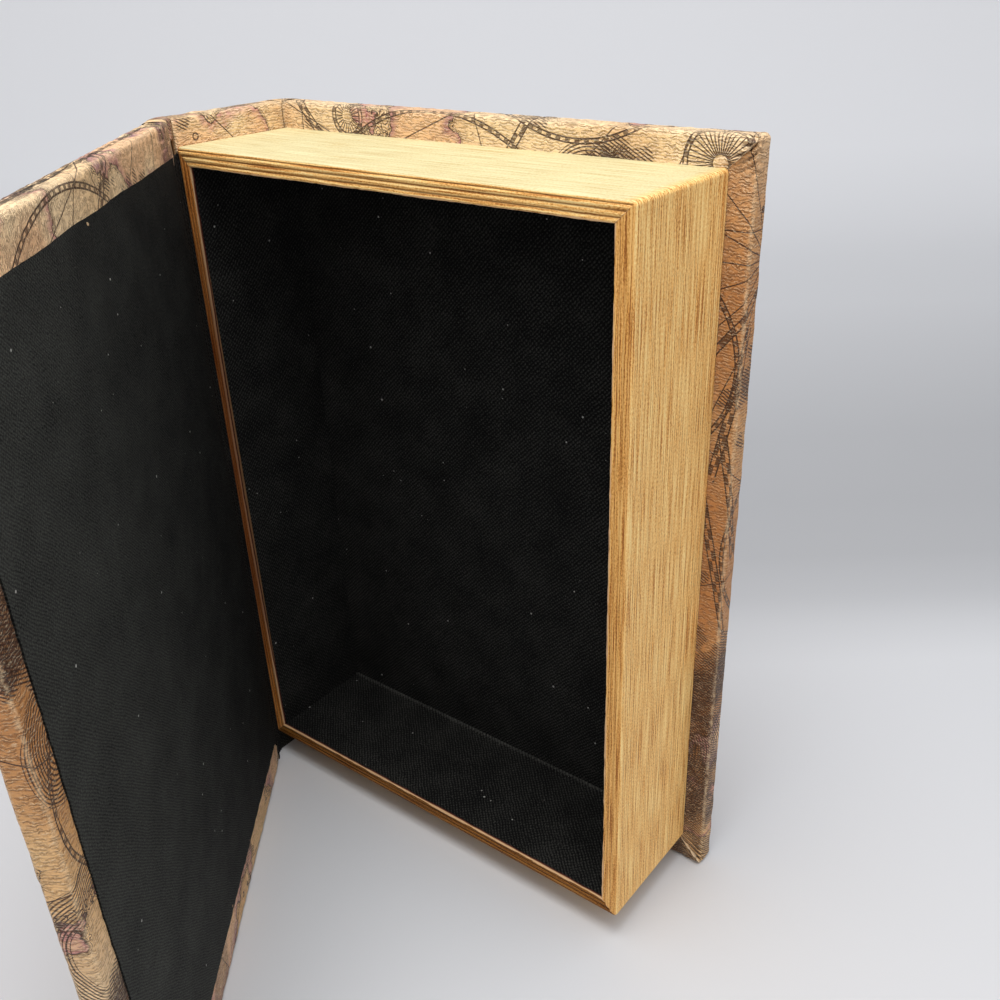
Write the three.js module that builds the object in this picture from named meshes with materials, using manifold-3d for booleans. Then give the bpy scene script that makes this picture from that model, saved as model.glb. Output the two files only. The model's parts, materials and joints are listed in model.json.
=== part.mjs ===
// A book safe: a lined tray hidden inside an imitation book, standing on its tail edge.
//
// The book stands upright with its front cover part open. Z points up to the head of the book,
// X runs from the spine to the fore-edge, and Y runs from the open rim of the tray to the back
// cover. The origin lies under the tail edge of the back cover, on the surface it stands on.
// All sizes are in millimetres.

import * as THREE from 'three';
import { mergeVertices } from 'three/addons/utils/BufferGeometryUtils.js';
import Module from 'manifold-3d';

const wasm = await Module();
wasm.setup();

// Tray, measured over its page-edge sheets
const tray_width = 157.3;
const tray_height = 219.2;
const tray_depth = 43;
const wall_board = 4.2;
const base_board = 2;
const tray_lining = 0.5;
const page_sheet = 0.5;
const tray_glue_line = 0.05;

// Ribbed rim, where each page-edge sheet folds over the front of its wall
const rim_sheet = 0.5;
const ridge_height = 0.5;
const ridge_count = 3;
const mitre_gap = 0.1;

// Covers and spine: a board in a printed sheet that is turned in over its edges
const cover_board = 5.4;
const spine_board_thickness = 5.4;
const cover_sheet = 0.6;
const cover_glue_line = 0.3;
const cover_edge_radius = 2;
const sharpest_edge_radius = 0.1;
const head_square = 8;
const tail_square = 9.5;
const back_fore_edge_square = 7.5;
const front_fore_edge_square = 9.3;
const cover_overlap_at_spine = 1;

// Turn-ins: how far the printed sheet reaches over the inner face from each edge
const head_turn_in = 9.5;
const tail_turn_in = 11;
const fore_edge_turn_in = 8;
const spine_turn_in = 15;

// Inner linings of the case: as thick as the turn-ins beside them, and in front a little proud
const front_lining_proud = 0.2;

// Front joint: the soft fold on which the front cover turns
const closing_gap = 0.4;
const fold_stand_off = 0.4;
const fold_beyond_tray = 2;
const joint_lining = 0.4;
const joint_reach = 3;
const photographed_opening_deg = 51;

// How finely curves are stepped, and how far a cutting body runs past what it cuts
const edge_arc_steps = 4;
const ridge_steps = 6;
const joint_steps = 10;
const overrun = 1;

// Sizes that follow from those above
const cover_wrap = cover_sheet + cover_glue_line;
const cover_thickness = cover_board + 2 * cover_wrap;
const spine_thickness = spine_board_thickness + 2 * cover_wrap;
const cover_height = tail_square + tray_height + head_square;
const back_cover_width = cover_overlap_at_spine + tray_width + back_fore_edge_square;
const front_cover_width = cover_overlap_at_spine + tray_width + front_fore_edge_square;
const rim_thickness = rim_sheet + ridge_height;
const rim_width = page_sheet + wall_board + tray_lining + 2 * tray_glue_line;
const wall_inset = page_sheet + tray_glue_line;
const lining_inset = wall_inset + wall_board + tray_glue_line;
const wall_front = rim_thickness + tray_glue_line;
const lining_back = tray_depth - base_board - tray_glue_line;
const back_cover_face = tray_depth + tray_glue_line;
const spine_face = -tray_glue_line;

// Each piece gets its own material from one of these finishes
const finishes = {
  board: { color: 0xb08a5c, roughness: 0.85 },
  page: { color: 0xd9b672, roughness: 0.6 },
  lining: { color: 0x1c1c1b, roughness: 0.9 },
  print: { color: 0xcfa67a, roughness: 0.55 },
};

function piece(name, finish, geometry) {
  const material = new THREE.MeshStandardMaterial({ ...finishes[finish], metalness: 0 });
  const mesh = new THREE.Mesh(geometry, material);
  mesh.name = name;
  return mesh;
}

function solidOf(geometry) {
  geometry.deleteAttribute('normal');
  geometry.deleteAttribute('uv');
  const merged = mergeVertices(geometry);
  return new wasm.Manifold(new wasm.Mesh({
    numProp: 3,
    vertProperties: Float32Array.from(merged.attributes.position.array),
    triVerts: Uint32Array.from(merged.index.array),
  }));
}

function geometryOf(solid) {
  const mesh = solid.getMesh();
  const geometry = new THREE.BufferGeometry();
  geometry.setAttribute('position', new THREE.Float32BufferAttribute(mesh.vertProperties, 3));
  geometry.setIndex([...mesh.triVerts]);
  geometry.computeVertexNormals();
  return geometry;
}

// A straight-sided block between two values on each axis, given in either order
function block(x, y, z) {
  const size = [x, y, z].map(([from, to]) => Math.abs(to - from));
  const middle = [x, y, z].map(([from, to]) => (from + to) / 2);
  return new THREE.BoxGeometry(...size).translate(...middle);
}

// A shape drawn in X and Y, run along Z from zero
function runAlongZ(shape, length) {
  return new THREE.ExtrudeGeometry(shape, {
    depth: length,
    bevelEnabled: false,
    curveSegments: edge_arc_steps,
  });
}

// A shape drawn with Z to the left and Y upwards, run along X from zero
function runAlongX(shape, length) {
  return runAlongZ(shape, length).rotateY(Math.PI / 2);
}

// A shape drawn in X and Z, run along Y from zero
function runAlongY(shape, length) {
  return runAlongZ(shape, length).rotateX(Math.PI / 2).translate(0, length, 0);
}

// A rectangle from the origin with the corners at its far end, or at both ends, rounded
function roundedRectangle(width, depth, radius, bothEnds) {
  const right = Math.PI / 2;
  const shape = new THREE.Shape();
  shape.moveTo(bothEnds ? radius : 0, 0);
  shape.lineTo(width - radius, 0);
  shape.absarc(width - radius, radius, radius, -right, 0);
  shape.lineTo(width, depth - radius);
  shape.absarc(width - radius, depth - radius, radius, 0, right);
  if (bothEnds) {
    shape.lineTo(radius, depth);
    shape.absarc(radius, depth - radius, radius, right, 2 * right);
    shape.lineTo(0, radius);
    shape.absarc(radius, radius, radius, 2 * right, 3 * right);
  } else {
    shape.lineTo(0, depth);
    shape.lineTo(0, 0);
  }
  return shape;
}

// A board-like slab between two values on each axis: X along its width, Y through it and Z up
// its height. Its head and tail edges are rounded, and so is its fore-edge unless it is a spine.
function roundedSlab(x, y, z, radius, isSpine) {
  const thickness = y[1] - y[0];
  const height = z[1] - z[0];
  const width = x[1] - x[0];
  const profile = roundedRectangle(height, thickness, radius, true);
  const upright = solidOf(runAlongX(profile, width).translate(x[0], y[0], z[1]));
  if (isSpine) return upright;
  const section = roundedRectangle(width, thickness, radius, false);
  return upright.intersect(solidOf(runAlongZ(section, height).translate(x[0], y[0], z[0])));
}

// The three layers of a cover or of the spine: the board, the printed sheet turned in over its
// edges, and the lining between the turn-ins. X runs from the joint to the fore-edge, Z up from
// the tail edge, and the inner face lies at zero with the outer face at outward times thickness.
function boardInSheet({ width, thickness, outward, isSpine, turnIn, liningProud }) {
  const [nearest, farthest] = [0, outward * thickness].sort((a, b) => a - b);
  const layer = (inset, reach) => roundedSlab(
    [-reach, isSpine ? width + reach : width - inset],
    [nearest + inset, farthest - inset],
    [inset, cover_height - inset],
    Math.max(cover_edge_radius - inset, sharpest_edge_radius),
    isSpine,
  );
  const windowEnd = isSpine ? width + overrun : width - turnIn.foreEdge;
  const window = block([-overrun, windowEnd], [-outward * overrun, outward * cover_wrap],
    [turnIn.tail, cover_height - turnIn.head]);
  const sheet = layer(0, 0).subtract(layer(cover_sheet, overrun)).subtract(solidOf(window));
  const liningEnd = isSpine ? width : windowEnd - cover_glue_line;
  return {
    board: geometryOf(layer(cover_wrap, 0)),
    sheet: geometryOf(sheet),
    lining: block([0, liningEnd], [-outward * liningProud, outward * cover_sheet],
      [turnIn.tail + cover_glue_line, cover_height - turnIn.head - cover_glue_line]),
  };
}

// A bent strip of sheet, drawn as a band beside a curve and run up the whole joint.
// Depths are measured from the curve towards the inside of the bend.
function bentStrip(curve, insideSign, depths, z) {
  const edge = (depth) => curve.getPoints(joint_steps).map((point, step) => {
    const along = curve.getTangent(step / joint_steps);
    const inwards = new THREE.Vector2(-along.y, along.x).multiplyScalar(insideSign * depth);
    return point.clone().add(inwards);
  });
  const outline = [...edge(depths[0]), ...edge(depths[1]).reverse()];
  return runAlongZ(new THREE.Shape(outline), z[1] - z[0]).translate(0, 0, z[0]);
}

// The outer line of a joint, from the spine's outer face to a cover's outer face
function jointCurve(start, startDirection, end, endDirection) {
  return new THREE.CubicBezierCurve(
    start,
    start.clone().addScaledVector(startDirection, joint_reach),
    end.clone().addScaledVector(endDirection, -joint_reach),
    end,
  );
}

// Tray walls. Each side is built with X along it, Y into the tray and Z out of it, about the
// middle of the tray, and then turned to its place.
function traySide(name, length, outerFace, turn, isFullLength) {
  const side = new THREE.Group();
  side.rotation.y = turn;
  const half = length / 2;
  const wallEnd = half - (isFullLength ? wall_inset : lining_inset);
  const liningEnd = half - lining_inset - (isFullLength ? 0 : tray_lining + tray_glue_line);
  side.add(
    piece(`${name}_wall`, 'board', block([-wallEnd, wallEnd], [wall_front, tray_depth],
      [outerFace - wall_inset, outerFace - wall_inset - wall_board])),
    piece(`${name}_wall_lining`, 'lining', block([-liningEnd, liningEnd],
      [wall_front, lining_back], [outerFace - lining_inset, outerFace - lining_inset - tray_lining])),
    piece(`${name}_page_sheet`, 'page', pageSheet(half, outerFace)),
  );
  return side;
}

// A page-edge sheet: flat along the outside of its wall, ribbed where it folds over the rim,
// and mitred where it meets its neighbours
function pageSheet(half, outerFace) {
  const outline = [[0, tray_depth]];
  const stepCount = ridge_count * ridge_steps;
  for (let step = 0; step <= stepCount; step += 1) {
    const swell = Math.abs(Math.sin(Math.PI * step / ridge_steps));
    outline.push([rim_width * step / stepCount, ridge_height * (1 - swell)]);
  }
  outline.push([rim_width, rim_thickness], [page_sheet, rim_thickness], [page_sheet, tray_depth]);
  const section = new THREE.Shape(outline.map(([inset, y]) => new THREE.Vector2(inset, y)));
  const strip = runAlongX(section, 2 * half).translate(-half, 0, outerFace);

  const mitreDepth = rim_width + overrun;
  const inner = half - mitre_gap - mitreDepth;
  const outer = half - mitre_gap + overrun;
  const trapezoid = new THREE.Shape([
    new THREE.Vector2(-outer, outerFace + overrun),
    new THREE.Vector2(outer, outerFace + overrun),
    new THREE.Vector2(inner, outerFace - mitreDepth),
    new THREE.Vector2(-inner, outerFace - mitreDepth),
  ]);
  const mitre = runAlongY(trapezoid, tray_depth + 2 * overrun).translate(0, -overrun, 0);
  return geometryOf(solidOf(strip).intersect(solidOf(mitre)));
}

// The tray: four walls round a base, lined inside and sheeted outside
function tray() {
  const frame = new THREE.Group();
  frame.position.set(tray_width / 2, 0, tail_square + tray_height / 2);
  frame.add(
    traySide('head', tray_width, tray_height / 2, 0, true),
    traySide('fore_edge', tray_height, tray_width / 2, Math.PI / 2, false),
    traySide('tail', tray_width, tray_height / 2, Math.PI, true),
    traySide('spine_side', tray_height, tray_width / 2, -Math.PI / 2, false),
  );
  const baseHalfWidth = tray_width / 2 - lining_inset;
  const baseHalfHeight = tray_height / 2 - lining_inset;
  frame.add(
    piece('base_panel', 'board', block([-baseHalfWidth, baseHalfWidth],
      [tray_depth - base_board, tray_depth], [-baseHalfHeight, baseHalfHeight])),
    piece('base_lining', 'lining', block(
      [tray_lining + tray_glue_line - baseHalfWidth, baseHalfWidth - tray_lining - tray_glue_line],
      [lining_back - tray_lining, lining_back],
      [tray_lining + tray_glue_line - baseHalfHeight, baseHalfHeight - tray_lining - tray_glue_line],
    )),
  );
  return frame;
}

// The back cover, glued flat to the back of the tray
function backCover() {
  const layers = boardInSheet({
    width: back_cover_width,
    thickness: cover_thickness,
    outward: 1,
    isSpine: false,
    turnIn: { head: head_turn_in, tail: tail_turn_in, foreEdge: fore_edge_turn_in },
    liningProud: 0,
  });
  const cover = new THREE.Group();
  cover.position.set(-cover_overlap_at_spine, back_cover_face, 0);
  cover.add(
    piece('back_board', 'board', layers.board),
    piece('back_printed_sheet', 'print', layers.sheet),
    piece('back_inner_lining', 'lining', layers.lining),
  );
  return cover;
}

// The spine, glued flat to the side of the tray, with its outer face towards minus X
function spine() {
  const layers = boardInSheet({
    width: tray_depth,
    thickness: spine_thickness,
    outward: 1,
    isSpine: true,
    turnIn: { head: spine_turn_in, tail: spine_turn_in, foreEdge: 0 },
    liningProud: 0,
  });
  const cover = new THREE.Group();
  cover.position.set(spine_face, 0, 0);
  cover.rotation.z = Math.PI / 2;
  cover.add(
    piece('spine_board', 'board', layers.board),
    piece('spine_printed_sheet', 'print', layers.sheet),
    piece('spine_inner_lining', 'lining', layers.lining),
  );
  return cover;
}

// The front cover turns about an upright line just outside its outer face
const fold_line = new THREE.Vector2(
  -fold_beyond_tray,
  -(closing_gap + front_lining_proud + cover_thickness + fold_stand_off),
);
const opening = THREE.MathUtils.degToRad(photographed_opening_deg);
const front_cover_start = fold_beyond_tray - cover_overlap_at_spine;
const front_cover_inner = cover_thickness + fold_stand_off;

function frontCover() {
  const layers = boardInSheet({
    width: front_cover_width,
    thickness: cover_thickness,
    outward: -1,
    isSpine: false,
    turnIn: { head: head_turn_in, tail: tail_turn_in, foreEdge: fore_edge_turn_in },
    liningProud: front_lining_proud,
  });
  const cover = new THREE.Group();
  cover.position.set(front_cover_start, front_cover_inner, 0);
  cover.add(
    piece('front_board', 'board', layers.board),
    piece('front_printed_sheet', 'print', layers.sheet),
    piece('front_cover_lining', 'lining', layers.lining),
  );
  const swing = new THREE.Group();
  swing.position.set(fold_line.x, fold_line.y, 0);
  swing.rotation.z = -opening;
  swing.add(cover);
  return swing;
}

// The two soft joints, where the printed sheet bends from the spine to each cover
function joints() {
  const outerX = spine_face - spine_thickness;
  const along = new THREE.Vector2(Math.cos(-opening), Math.sin(-opening));
  const across = new THREE.Vector2(-along.y, along.x);
  const front = jointCurve(
    new THREE.Vector2(outerX, -cover_glue_line),
    new THREE.Vector2(0, -1),
    fold_line.clone()
      .addScaledVector(along, front_cover_start - cover_glue_line)
      .addScaledVector(across, fold_stand_off),
    along,
  );
  const back = jointCurve(
    new THREE.Vector2(outerX, tray_depth + cover_glue_line),
    new THREE.Vector2(0, 1),
    new THREE.Vector2(-cover_overlap_at_spine - cover_glue_line,
      back_cover_face + cover_thickness),
    new THREE.Vector2(1, 0),
  );
  const strips = new THREE.Group();
  const liningZ = [
    tail_turn_in + cover_glue_line,
    cover_height - head_turn_in - cover_glue_line,
  ];
  strips.add(
    piece('front_joint_sheet', 'print', bentStrip(front, 1, [0, cover_sheet], [0, cover_height])),
    piece('front_joint_lining', 'lining',
      bentStrip(front, 1, [cover_wrap, cover_wrap + joint_lining], liningZ)),
    piece('back_joint_sheet', 'print', bentStrip(back, -1, [0, cover_sheet], [0, cover_height])),
  );
  return strips;
}

const book = new THREE.Group();
const middle_of_back_cover = back_cover_width / 2 - cover_overlap_at_spine;
book.position.set(-middle_of_back_cover, -(back_cover_face + cover_thickness / 2), 0);
book.add(tray(), backCover(), spine(), joints(), frontCover());

const book_safe = new THREE.Group();
book_safe.add(book);

export default book_safe;
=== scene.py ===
# %% [markdown]
# A book safe, seen from the front with its cover part open. It is a lined tray of board behind
# two covers and a spine, and it has the looks of an old book: a chart printed on leather-like
# sheet outside, gilt page edges round the tray, and black cloth inside.
#
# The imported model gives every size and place. It could be dressed with materials alone, but the
# eye goes to the turned-in edges, the ribbed rim and the soft joint, so each sheet is made anew
# here as a surface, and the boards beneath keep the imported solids.

import json
import math
from collections import namedtuple

import bmesh
import bpy
import numpy as np
from mathutils import Matrix, Vector

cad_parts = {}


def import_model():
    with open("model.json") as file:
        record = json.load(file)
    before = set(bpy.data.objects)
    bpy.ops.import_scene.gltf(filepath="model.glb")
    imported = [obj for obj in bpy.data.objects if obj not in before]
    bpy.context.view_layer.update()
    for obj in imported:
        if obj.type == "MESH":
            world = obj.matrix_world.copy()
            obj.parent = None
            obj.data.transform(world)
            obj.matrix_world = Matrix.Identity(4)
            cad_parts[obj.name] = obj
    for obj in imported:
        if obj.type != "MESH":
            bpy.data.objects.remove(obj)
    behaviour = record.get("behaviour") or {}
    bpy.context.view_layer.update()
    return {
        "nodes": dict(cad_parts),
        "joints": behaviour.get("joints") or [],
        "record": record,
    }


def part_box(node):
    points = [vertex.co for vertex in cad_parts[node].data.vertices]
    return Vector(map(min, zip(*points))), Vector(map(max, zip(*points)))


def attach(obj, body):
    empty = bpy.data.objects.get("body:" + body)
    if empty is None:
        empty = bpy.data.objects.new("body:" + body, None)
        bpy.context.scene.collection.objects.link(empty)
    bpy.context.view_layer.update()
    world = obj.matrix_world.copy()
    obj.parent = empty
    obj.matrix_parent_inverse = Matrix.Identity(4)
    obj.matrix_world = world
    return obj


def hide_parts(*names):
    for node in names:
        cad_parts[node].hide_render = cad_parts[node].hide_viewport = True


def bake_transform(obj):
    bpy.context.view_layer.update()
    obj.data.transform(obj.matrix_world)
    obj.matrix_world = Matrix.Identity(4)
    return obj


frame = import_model()

# %% [markdown]
# The front cover turns about the line of its soft fold. At rest it stands open by as much as it
# can still close, so the joint's own range gives the angle. All lengths below are in metres, and
# `mm` turns millimetres into them.

# %% Where the cover turns
mm = 0.001
hinge = frame["joints"][0]
fold_line = np.array(hinge["pos_m"]) * (1, 1, 0)
opening = math.radians(-hinge["range_deg"][0])
upwards = np.array([0.0, 0.0, 1.0])
to_fore_edge = np.array([1.0, 0.0, 0.0])
to_front = np.array([0.0, -1.0, 0.0])
cover_along = np.array([math.cos(opening), -math.sin(opening), 0.0])
cover_inward = np.array([math.sin(opening), math.cos(opening), 0.0])
print("the front cover stands open by", round(math.degrees(opening), 1), "degrees")

# %% [markdown]
# Every new piece is made of grids: rows and columns of points worked out as whole arrays. A grid
# carries two more things for its material. One is its place on the flat sheet before it was
# folded round the board, in millimetres, so the print and the grain run on over every edge. The
# others tell how near a point is to a cut edge, where the pale core of the sheet shows, and how
# pale or dark the surface is painted: 1 on the ridge of a fold, which is rubbed and also painted
# as a highlight, and -1 in the depth of a crease, painted as shade. On the cloth the same value
# paints light and shade.

# %% Grids of points
Patch = namedtuple("Patch", "points sheet raw worn keep")


def patch(points, sheet_s, sheet_t, raw=0.0, worn=0.0, keep=None):
    """One grid: its points, its place on the flat sheet in millimetres, its rawness, and its wear and
    painted light.
    """
    shape = points.shape[:2]
    sheet = np.stack([np.broadcast_to(sheet_s, shape), np.broadcast_to(sheet_t, shape)], -1)
    return Patch(points, sheet / mm, np.broadcast_to(raw, shape), np.broadcast_to(worn, shape), keep)


def quads_of(grid):
    """The corners of a grid's cells: each cell takes a point, its neighbours and the one across."""
    rows, columns = grid.points.shape[:2]
    index = np.arange(rows * columns).reshape(rows, columns)
    cells = np.stack([index[:-1, :-1], index[1:, :-1], index[1:, 1:], index[:-1, 1:]], -1)
    return cells[grid.keep] if grid.keep is not None else cells.reshape(-1, 4)


# %% From grids to a mesh
weld_distance = 1e-6
weld_shift = 0.317
smooth_angle = math.radians(45)


def skin(name, patches):
    """One mesh from several grids. Points that lie together are merged, so grids join along their
    shared edges, and a cell that has shrunk to a line is left out. Open borders are marked sharp,
    so that a thickness added later does not shade the face beside them."""
    quads = [quads_of(grid) for grid in patches]
    gather = lambda field, size: np.concatenate(
        [getattr(grid, field).reshape(-1, size)[cells] for grid, cells in zip(patches, quads)])
    corners, sheet = gather("points", 3), gather("sheet", 2)
    keys = np.floor(corners.reshape(-1, 3) / weld_distance + weld_shift).astype(np.int64)
    _, first, inverse = np.unique(keys, axis=0, return_index=True, return_inverse=True)
    index = inverse.reshape(-1, 4)
    own = index != np.roll(index, -1, axis=1)
    whole = own.sum(1) >= 3
    own = own & whole[:, None]
    sizes = own.sum(1)[whole]
    mesh = bpy.data.meshes.new(name)
    mesh.vertices.add(len(first))
    mesh.vertices.foreach_set("co", corners.reshape(-1, 3)[first].astype(np.float32).ravel())
    mesh.loops.add(int(sizes.sum()))
    mesh.loops.foreach_set("vertex_index", index[own].astype(np.int32))
    mesh.polygons.add(len(sizes))
    mesh.polygons.foreach_set("loop_start", (np.cumsum(sizes) - sizes).astype(np.int32))
    mesh.update(calc_edges=True)
    mesh.uv_layers.new(name="sheet").data.foreach_set("uv", sheet[own].astype(np.float32).ravel())
    for field, title in (("raw", "raw_edge"), ("worn", "wear_and_painted_light")):
        values = gather(field, 1)[own].astype(np.float32)
        mesh.attributes.new(title, "FLOAT", "CORNER").data.foreach_set("value", values.ravel())
    shape = bmesh.new()
    shape.from_mesh(mesh)
    bmesh.ops.recalc_face_normals(shape, faces=shape.faces)
    shape.to_mesh(mesh)
    shape.free()
    mesh.polygons.foreach_set("use_smooth", np.ones(len(mesh.polygons), bool))
    mesh.set_sharp_from_angle(angle=smooth_angle)
    edge_of_corner, sharp = np.zeros(len(mesh.loops), np.int32), np.zeros(len(mesh.edges), bool)
    mesh.loops.foreach_get("edge_index", edge_of_corner)
    mesh.edges.foreach_get("use_edge_sharp", sharp)
    sharp |= np.bincount(edge_of_corner, minlength=len(sharp)) < 2
    mesh.edges.foreach_set("use_edge_sharp", sharp)
    piece = bpy.data.objects.new(name, mesh)
    bpy.context.scene.collection.objects.link(piece)
    return piece


# %% [markdown]
# Real sheet glued by hand is never quite flat. A few long waves in random directions, added
# together, give a soft unevenness that repeats nowhere on the piece and is the same in each run.
# Page edges need another kind: ridges that are fine across and long along the pages.

# %% Unevenness
wave_count = 9


def ripple(points, wavelength, seed):
    """A smooth field between about -1 and 1: the mean of sine waves of like length whose
    directions and phases are drawn from the seed."""
    random = np.random.default_rng(seed)
    directions = random.normal(size=(wave_count, 3))
    directions /= np.linalg.norm(directions, axis=1, keepdims=True)
    lengths = wavelength * random.uniform(0.6, 1.7, wave_count)
    phases = random.uniform(0, 2 * math.pi, wave_count)
    turns = points @ (directions * (2 * math.pi / lengths)[:, None]).T + phases
    return np.sin(turns).mean(-1) * math.sqrt(wave_count) / 1.6


def line_ripple(places, wavelength, seed):
    """The same along one line."""
    return ripple(np.stack([places, 0 * places, 0 * places], -1), wavelength, seed)


def streaks(row_places, column_places, pitch, knot_pitch, seed):
    """Ridges that run along the columns: random heights at knots, blended straight between knots
    in both directions, so they are `pitch` apart across and `knot_pitch` apart along."""
    random = np.random.default_rng(seed)
    row_at = (row_places - row_places.min()) / pitch
    column_at = (column_places - column_places.min()) / knot_pitch
    table = random.uniform(-1, 1, (int(row_at.max()) + 2, int(column_at.max()) + 2))
    hat = lambda places, count: np.clip(1 - np.abs(places[:, None] - np.arange(count)), 0, 1)
    return hat(row_at, table.shape[0]) @ table @ hat(column_at, table.shape[1]).T


def ease(value):
    """A soft step from 0 to 1 as the value goes from 0 to 1."""
    held = np.clip(value, 0, 1)
    return held * held * (3 - 2 * held)


# %% [markdown]
# A covered board is a block whose edges are soft with sheet and glue. Its surface is found by
# pulling a sharp block in to a smaller core and pushing it out again by the edge radius, which
# rounds all edges and corners at once. A Bevel modifier would do it too, but then the sheet's
# flat layout would have to be guessed back. Here the sharp block's own unfolding is the layout.

# %% Covered boards
Board = namedtuple("Board", "origin along inward size radii sheet_start sheet_run seed")
cover_edge_radius = 1.7 * mm
spine_edge_radius = 0.7 * mm


def reach(node, direction, start=(0, 0, 0)):
    """The least and greatest distance of a node's points along a direction from a start."""
    points = np.array([vertex.co for vertex in frame["nodes"][node].data.vertices])
    distances = (points - start) @ direction
    return distances.min(), distances.max()


def board_from(node, start, along, inward, sheet_start, sheet_run, seed, end_radius):
    """The block that holds a node, with its first corner at the joint's tail end outside."""
    spans = [reach(node, direction, start) for direction in (along, inward, upwards)]
    lows, highs = np.array(spans).T
    origin = np.array(start) + lows[0] * along + lows[1] * inward + lows[2] * upwards
    radii = np.array([end_radius, cover_edge_radius, cover_edge_radius])
    return Board(origin, along, inward, highs - lows, radii, sheet_start, sheet_run, seed)


# %% Places across a board
arc_steps = 6
fold_step = 0.45 * mm
fold_slack = 0.1 * mm


def edge_lines(length, radius, step):
    """Places across a face: close together where its edges turn, and a step apart between."""
    turn = radius * (1 - np.tan(np.linspace(math.pi / 4, 0, arc_steps)))
    count = max(2, round((length - 2 * radius) / step))
    middle = np.linspace(radius, length - radius, count + 1)
    return np.concatenate([turn[:-1], middle, length - turn[:-1][::-1]])


def closer(lines, low, high):
    """The same places with a finer step between two of them."""
    outside = lines[(lines < low + fold_slack) | (lines > high - fold_slack)]
    return np.sort(np.concatenate([outside, np.arange(low + fold_step, high - fold_step / 2, fold_step)]))


# %% Points and wear on a board
leather_swell = 0.26 * mm
leather_swell_length = 5 * mm
leather_slump = 0.12 * mm
leather_slump_length = 38 * mm
wear_and_highlight_width = 1.9 * mm


def on_board(board, u, w, v, lift=0.0):
    """Points on the rounded board over the places u, w, v of a sharp block: the core's nearest
    point, plus the radius along the line to the place, plus the sheet's unevenness and a lift."""
    flat = np.stack(np.broadcast_arrays(u, w, v), -1).astype(float)
    core = np.clip(flat, board.radii, board.size - board.radii)
    outward = (flat - core) / board.radii
    outward /= np.linalg.norm(outward, axis=-1, keepdims=True)
    uneven = leather_swell * (ripple(flat, leather_swell_length, board.seed) - 1) / 2
    uneven += leather_slump * (ripple(flat, leather_slump_length, board.seed + 1) - 1) / 2
    local = core + outward * (board.radii + (uneven + lift)[..., None])
    axes = np.stack([board.along, board.inward, upwards])
    return board.origin + local @ axes


def fold_wear_and_light(board, u, w, v, crease=0.0):
    """1 on the folds of the sharp block, which are rubbed pale and also painted pale as a highlight,
    and 0 from the wear's width on, as the second nearest of its faces is as far away as the nearest
    fold. A crease takes it down to -1, which is painted dark as shade."""
    flat = np.stack(np.broadcast_arrays(u, w, v), -1)
    from_faces = np.sort(np.minimum(flat, board.size - flat), axis=-1)
    return (1 - ease(from_faces[..., 1] / wear_and_highlight_width)) * (1 - crease) - crease


def board_patch(board, u, w, v, s, t, lift=0.0, crease=0.0, **more):
    """A patch on a board whose place on the sheet is s along the wrap and t up the sheet."""
    return patch(on_board(board, u, w, v, lift), board.sheet_start + board.sheet_run * s, t,
                 worn=fold_wear_and_light(board, u, w, v, crease), **more)


# %% [markdown]
# The printed sheet goes right round each board. Outside it is one piece with the spine and the
# other cover. Inside, its margins are turned in and the cloth covers the rest, so the middle of
# the inner face is left open here. The head and tail margins are folded over the fore-edge
# margin with a slanted cut at the corner, and there the cut edge shows as a pale line.

# %% Gathers at the fore-edge corners
gather_height = 1.5 * mm
gather_pitch = 2.1 * mm
gather_reach = 9 * mm
gather_width = 11 * mm
gather_waver = 0.5 * mm
gather_waver_length = 7 * mm


def gathers(board, u, w, v):
    """Small folds where the sheet is gathered at a corner: a row of humps along the fore-edge
    margin that dies away with distance from the head and tail. Returns them and the creases,
    which the finish paints dark as shade."""
    length, depth, height = board.size
    from_end = np.minimum(v, height - v)
    waver = gather_waver * ripple(np.stack([u, w, v], -1), gather_waver_length, 71)
    fan = from_end - (length - u) * 0.5 + waver
    hump = np.abs(np.sin(math.pi * fan / gather_pitch))
    near_corner = ease((from_end - 0.8 * mm) / (2 * mm)) * np.exp(-(from_end / gather_reach) ** 2)
    near_edge = ease(1 - (length - u) / gather_width) * ease(w / depth * 2 - 1)
    near = near_corner * near_edge
    return gather_height * (np.sqrt(hump) - 0.90) * near, (1 - hump) ** 1.3 * np.minimum(near * 1.6, 1)


# %% The sheet round one board
sheet_step = 1.8 * mm
covering_thickness = 0.5 * mm
under_lining = 2.5 * mm
window_start = 6 * mm
gather_zone = 13 * mm


def window_rim(window, outer, inner, s, t):
    """Four narrow strips between the outer and the inner grid round a window of cells."""
    rows, columns = np.flatnonzero(window.any(1)), np.flatnonzero(window.any(0))
    down, across = slice(rows[0], rows[-1] + 2), slice(columns[0], columns[-1] + 2)
    sides = ((down, columns[0]), (down, columns[-1] + 1), (rows[0], across), (rows[-1] + 1, across))
    return [patch(np.stack([outer[side], inner[side]]), np.stack([s[side]] * 2),
                  np.stack([t[side]] * 2), 1.0) for side in sides]


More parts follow.
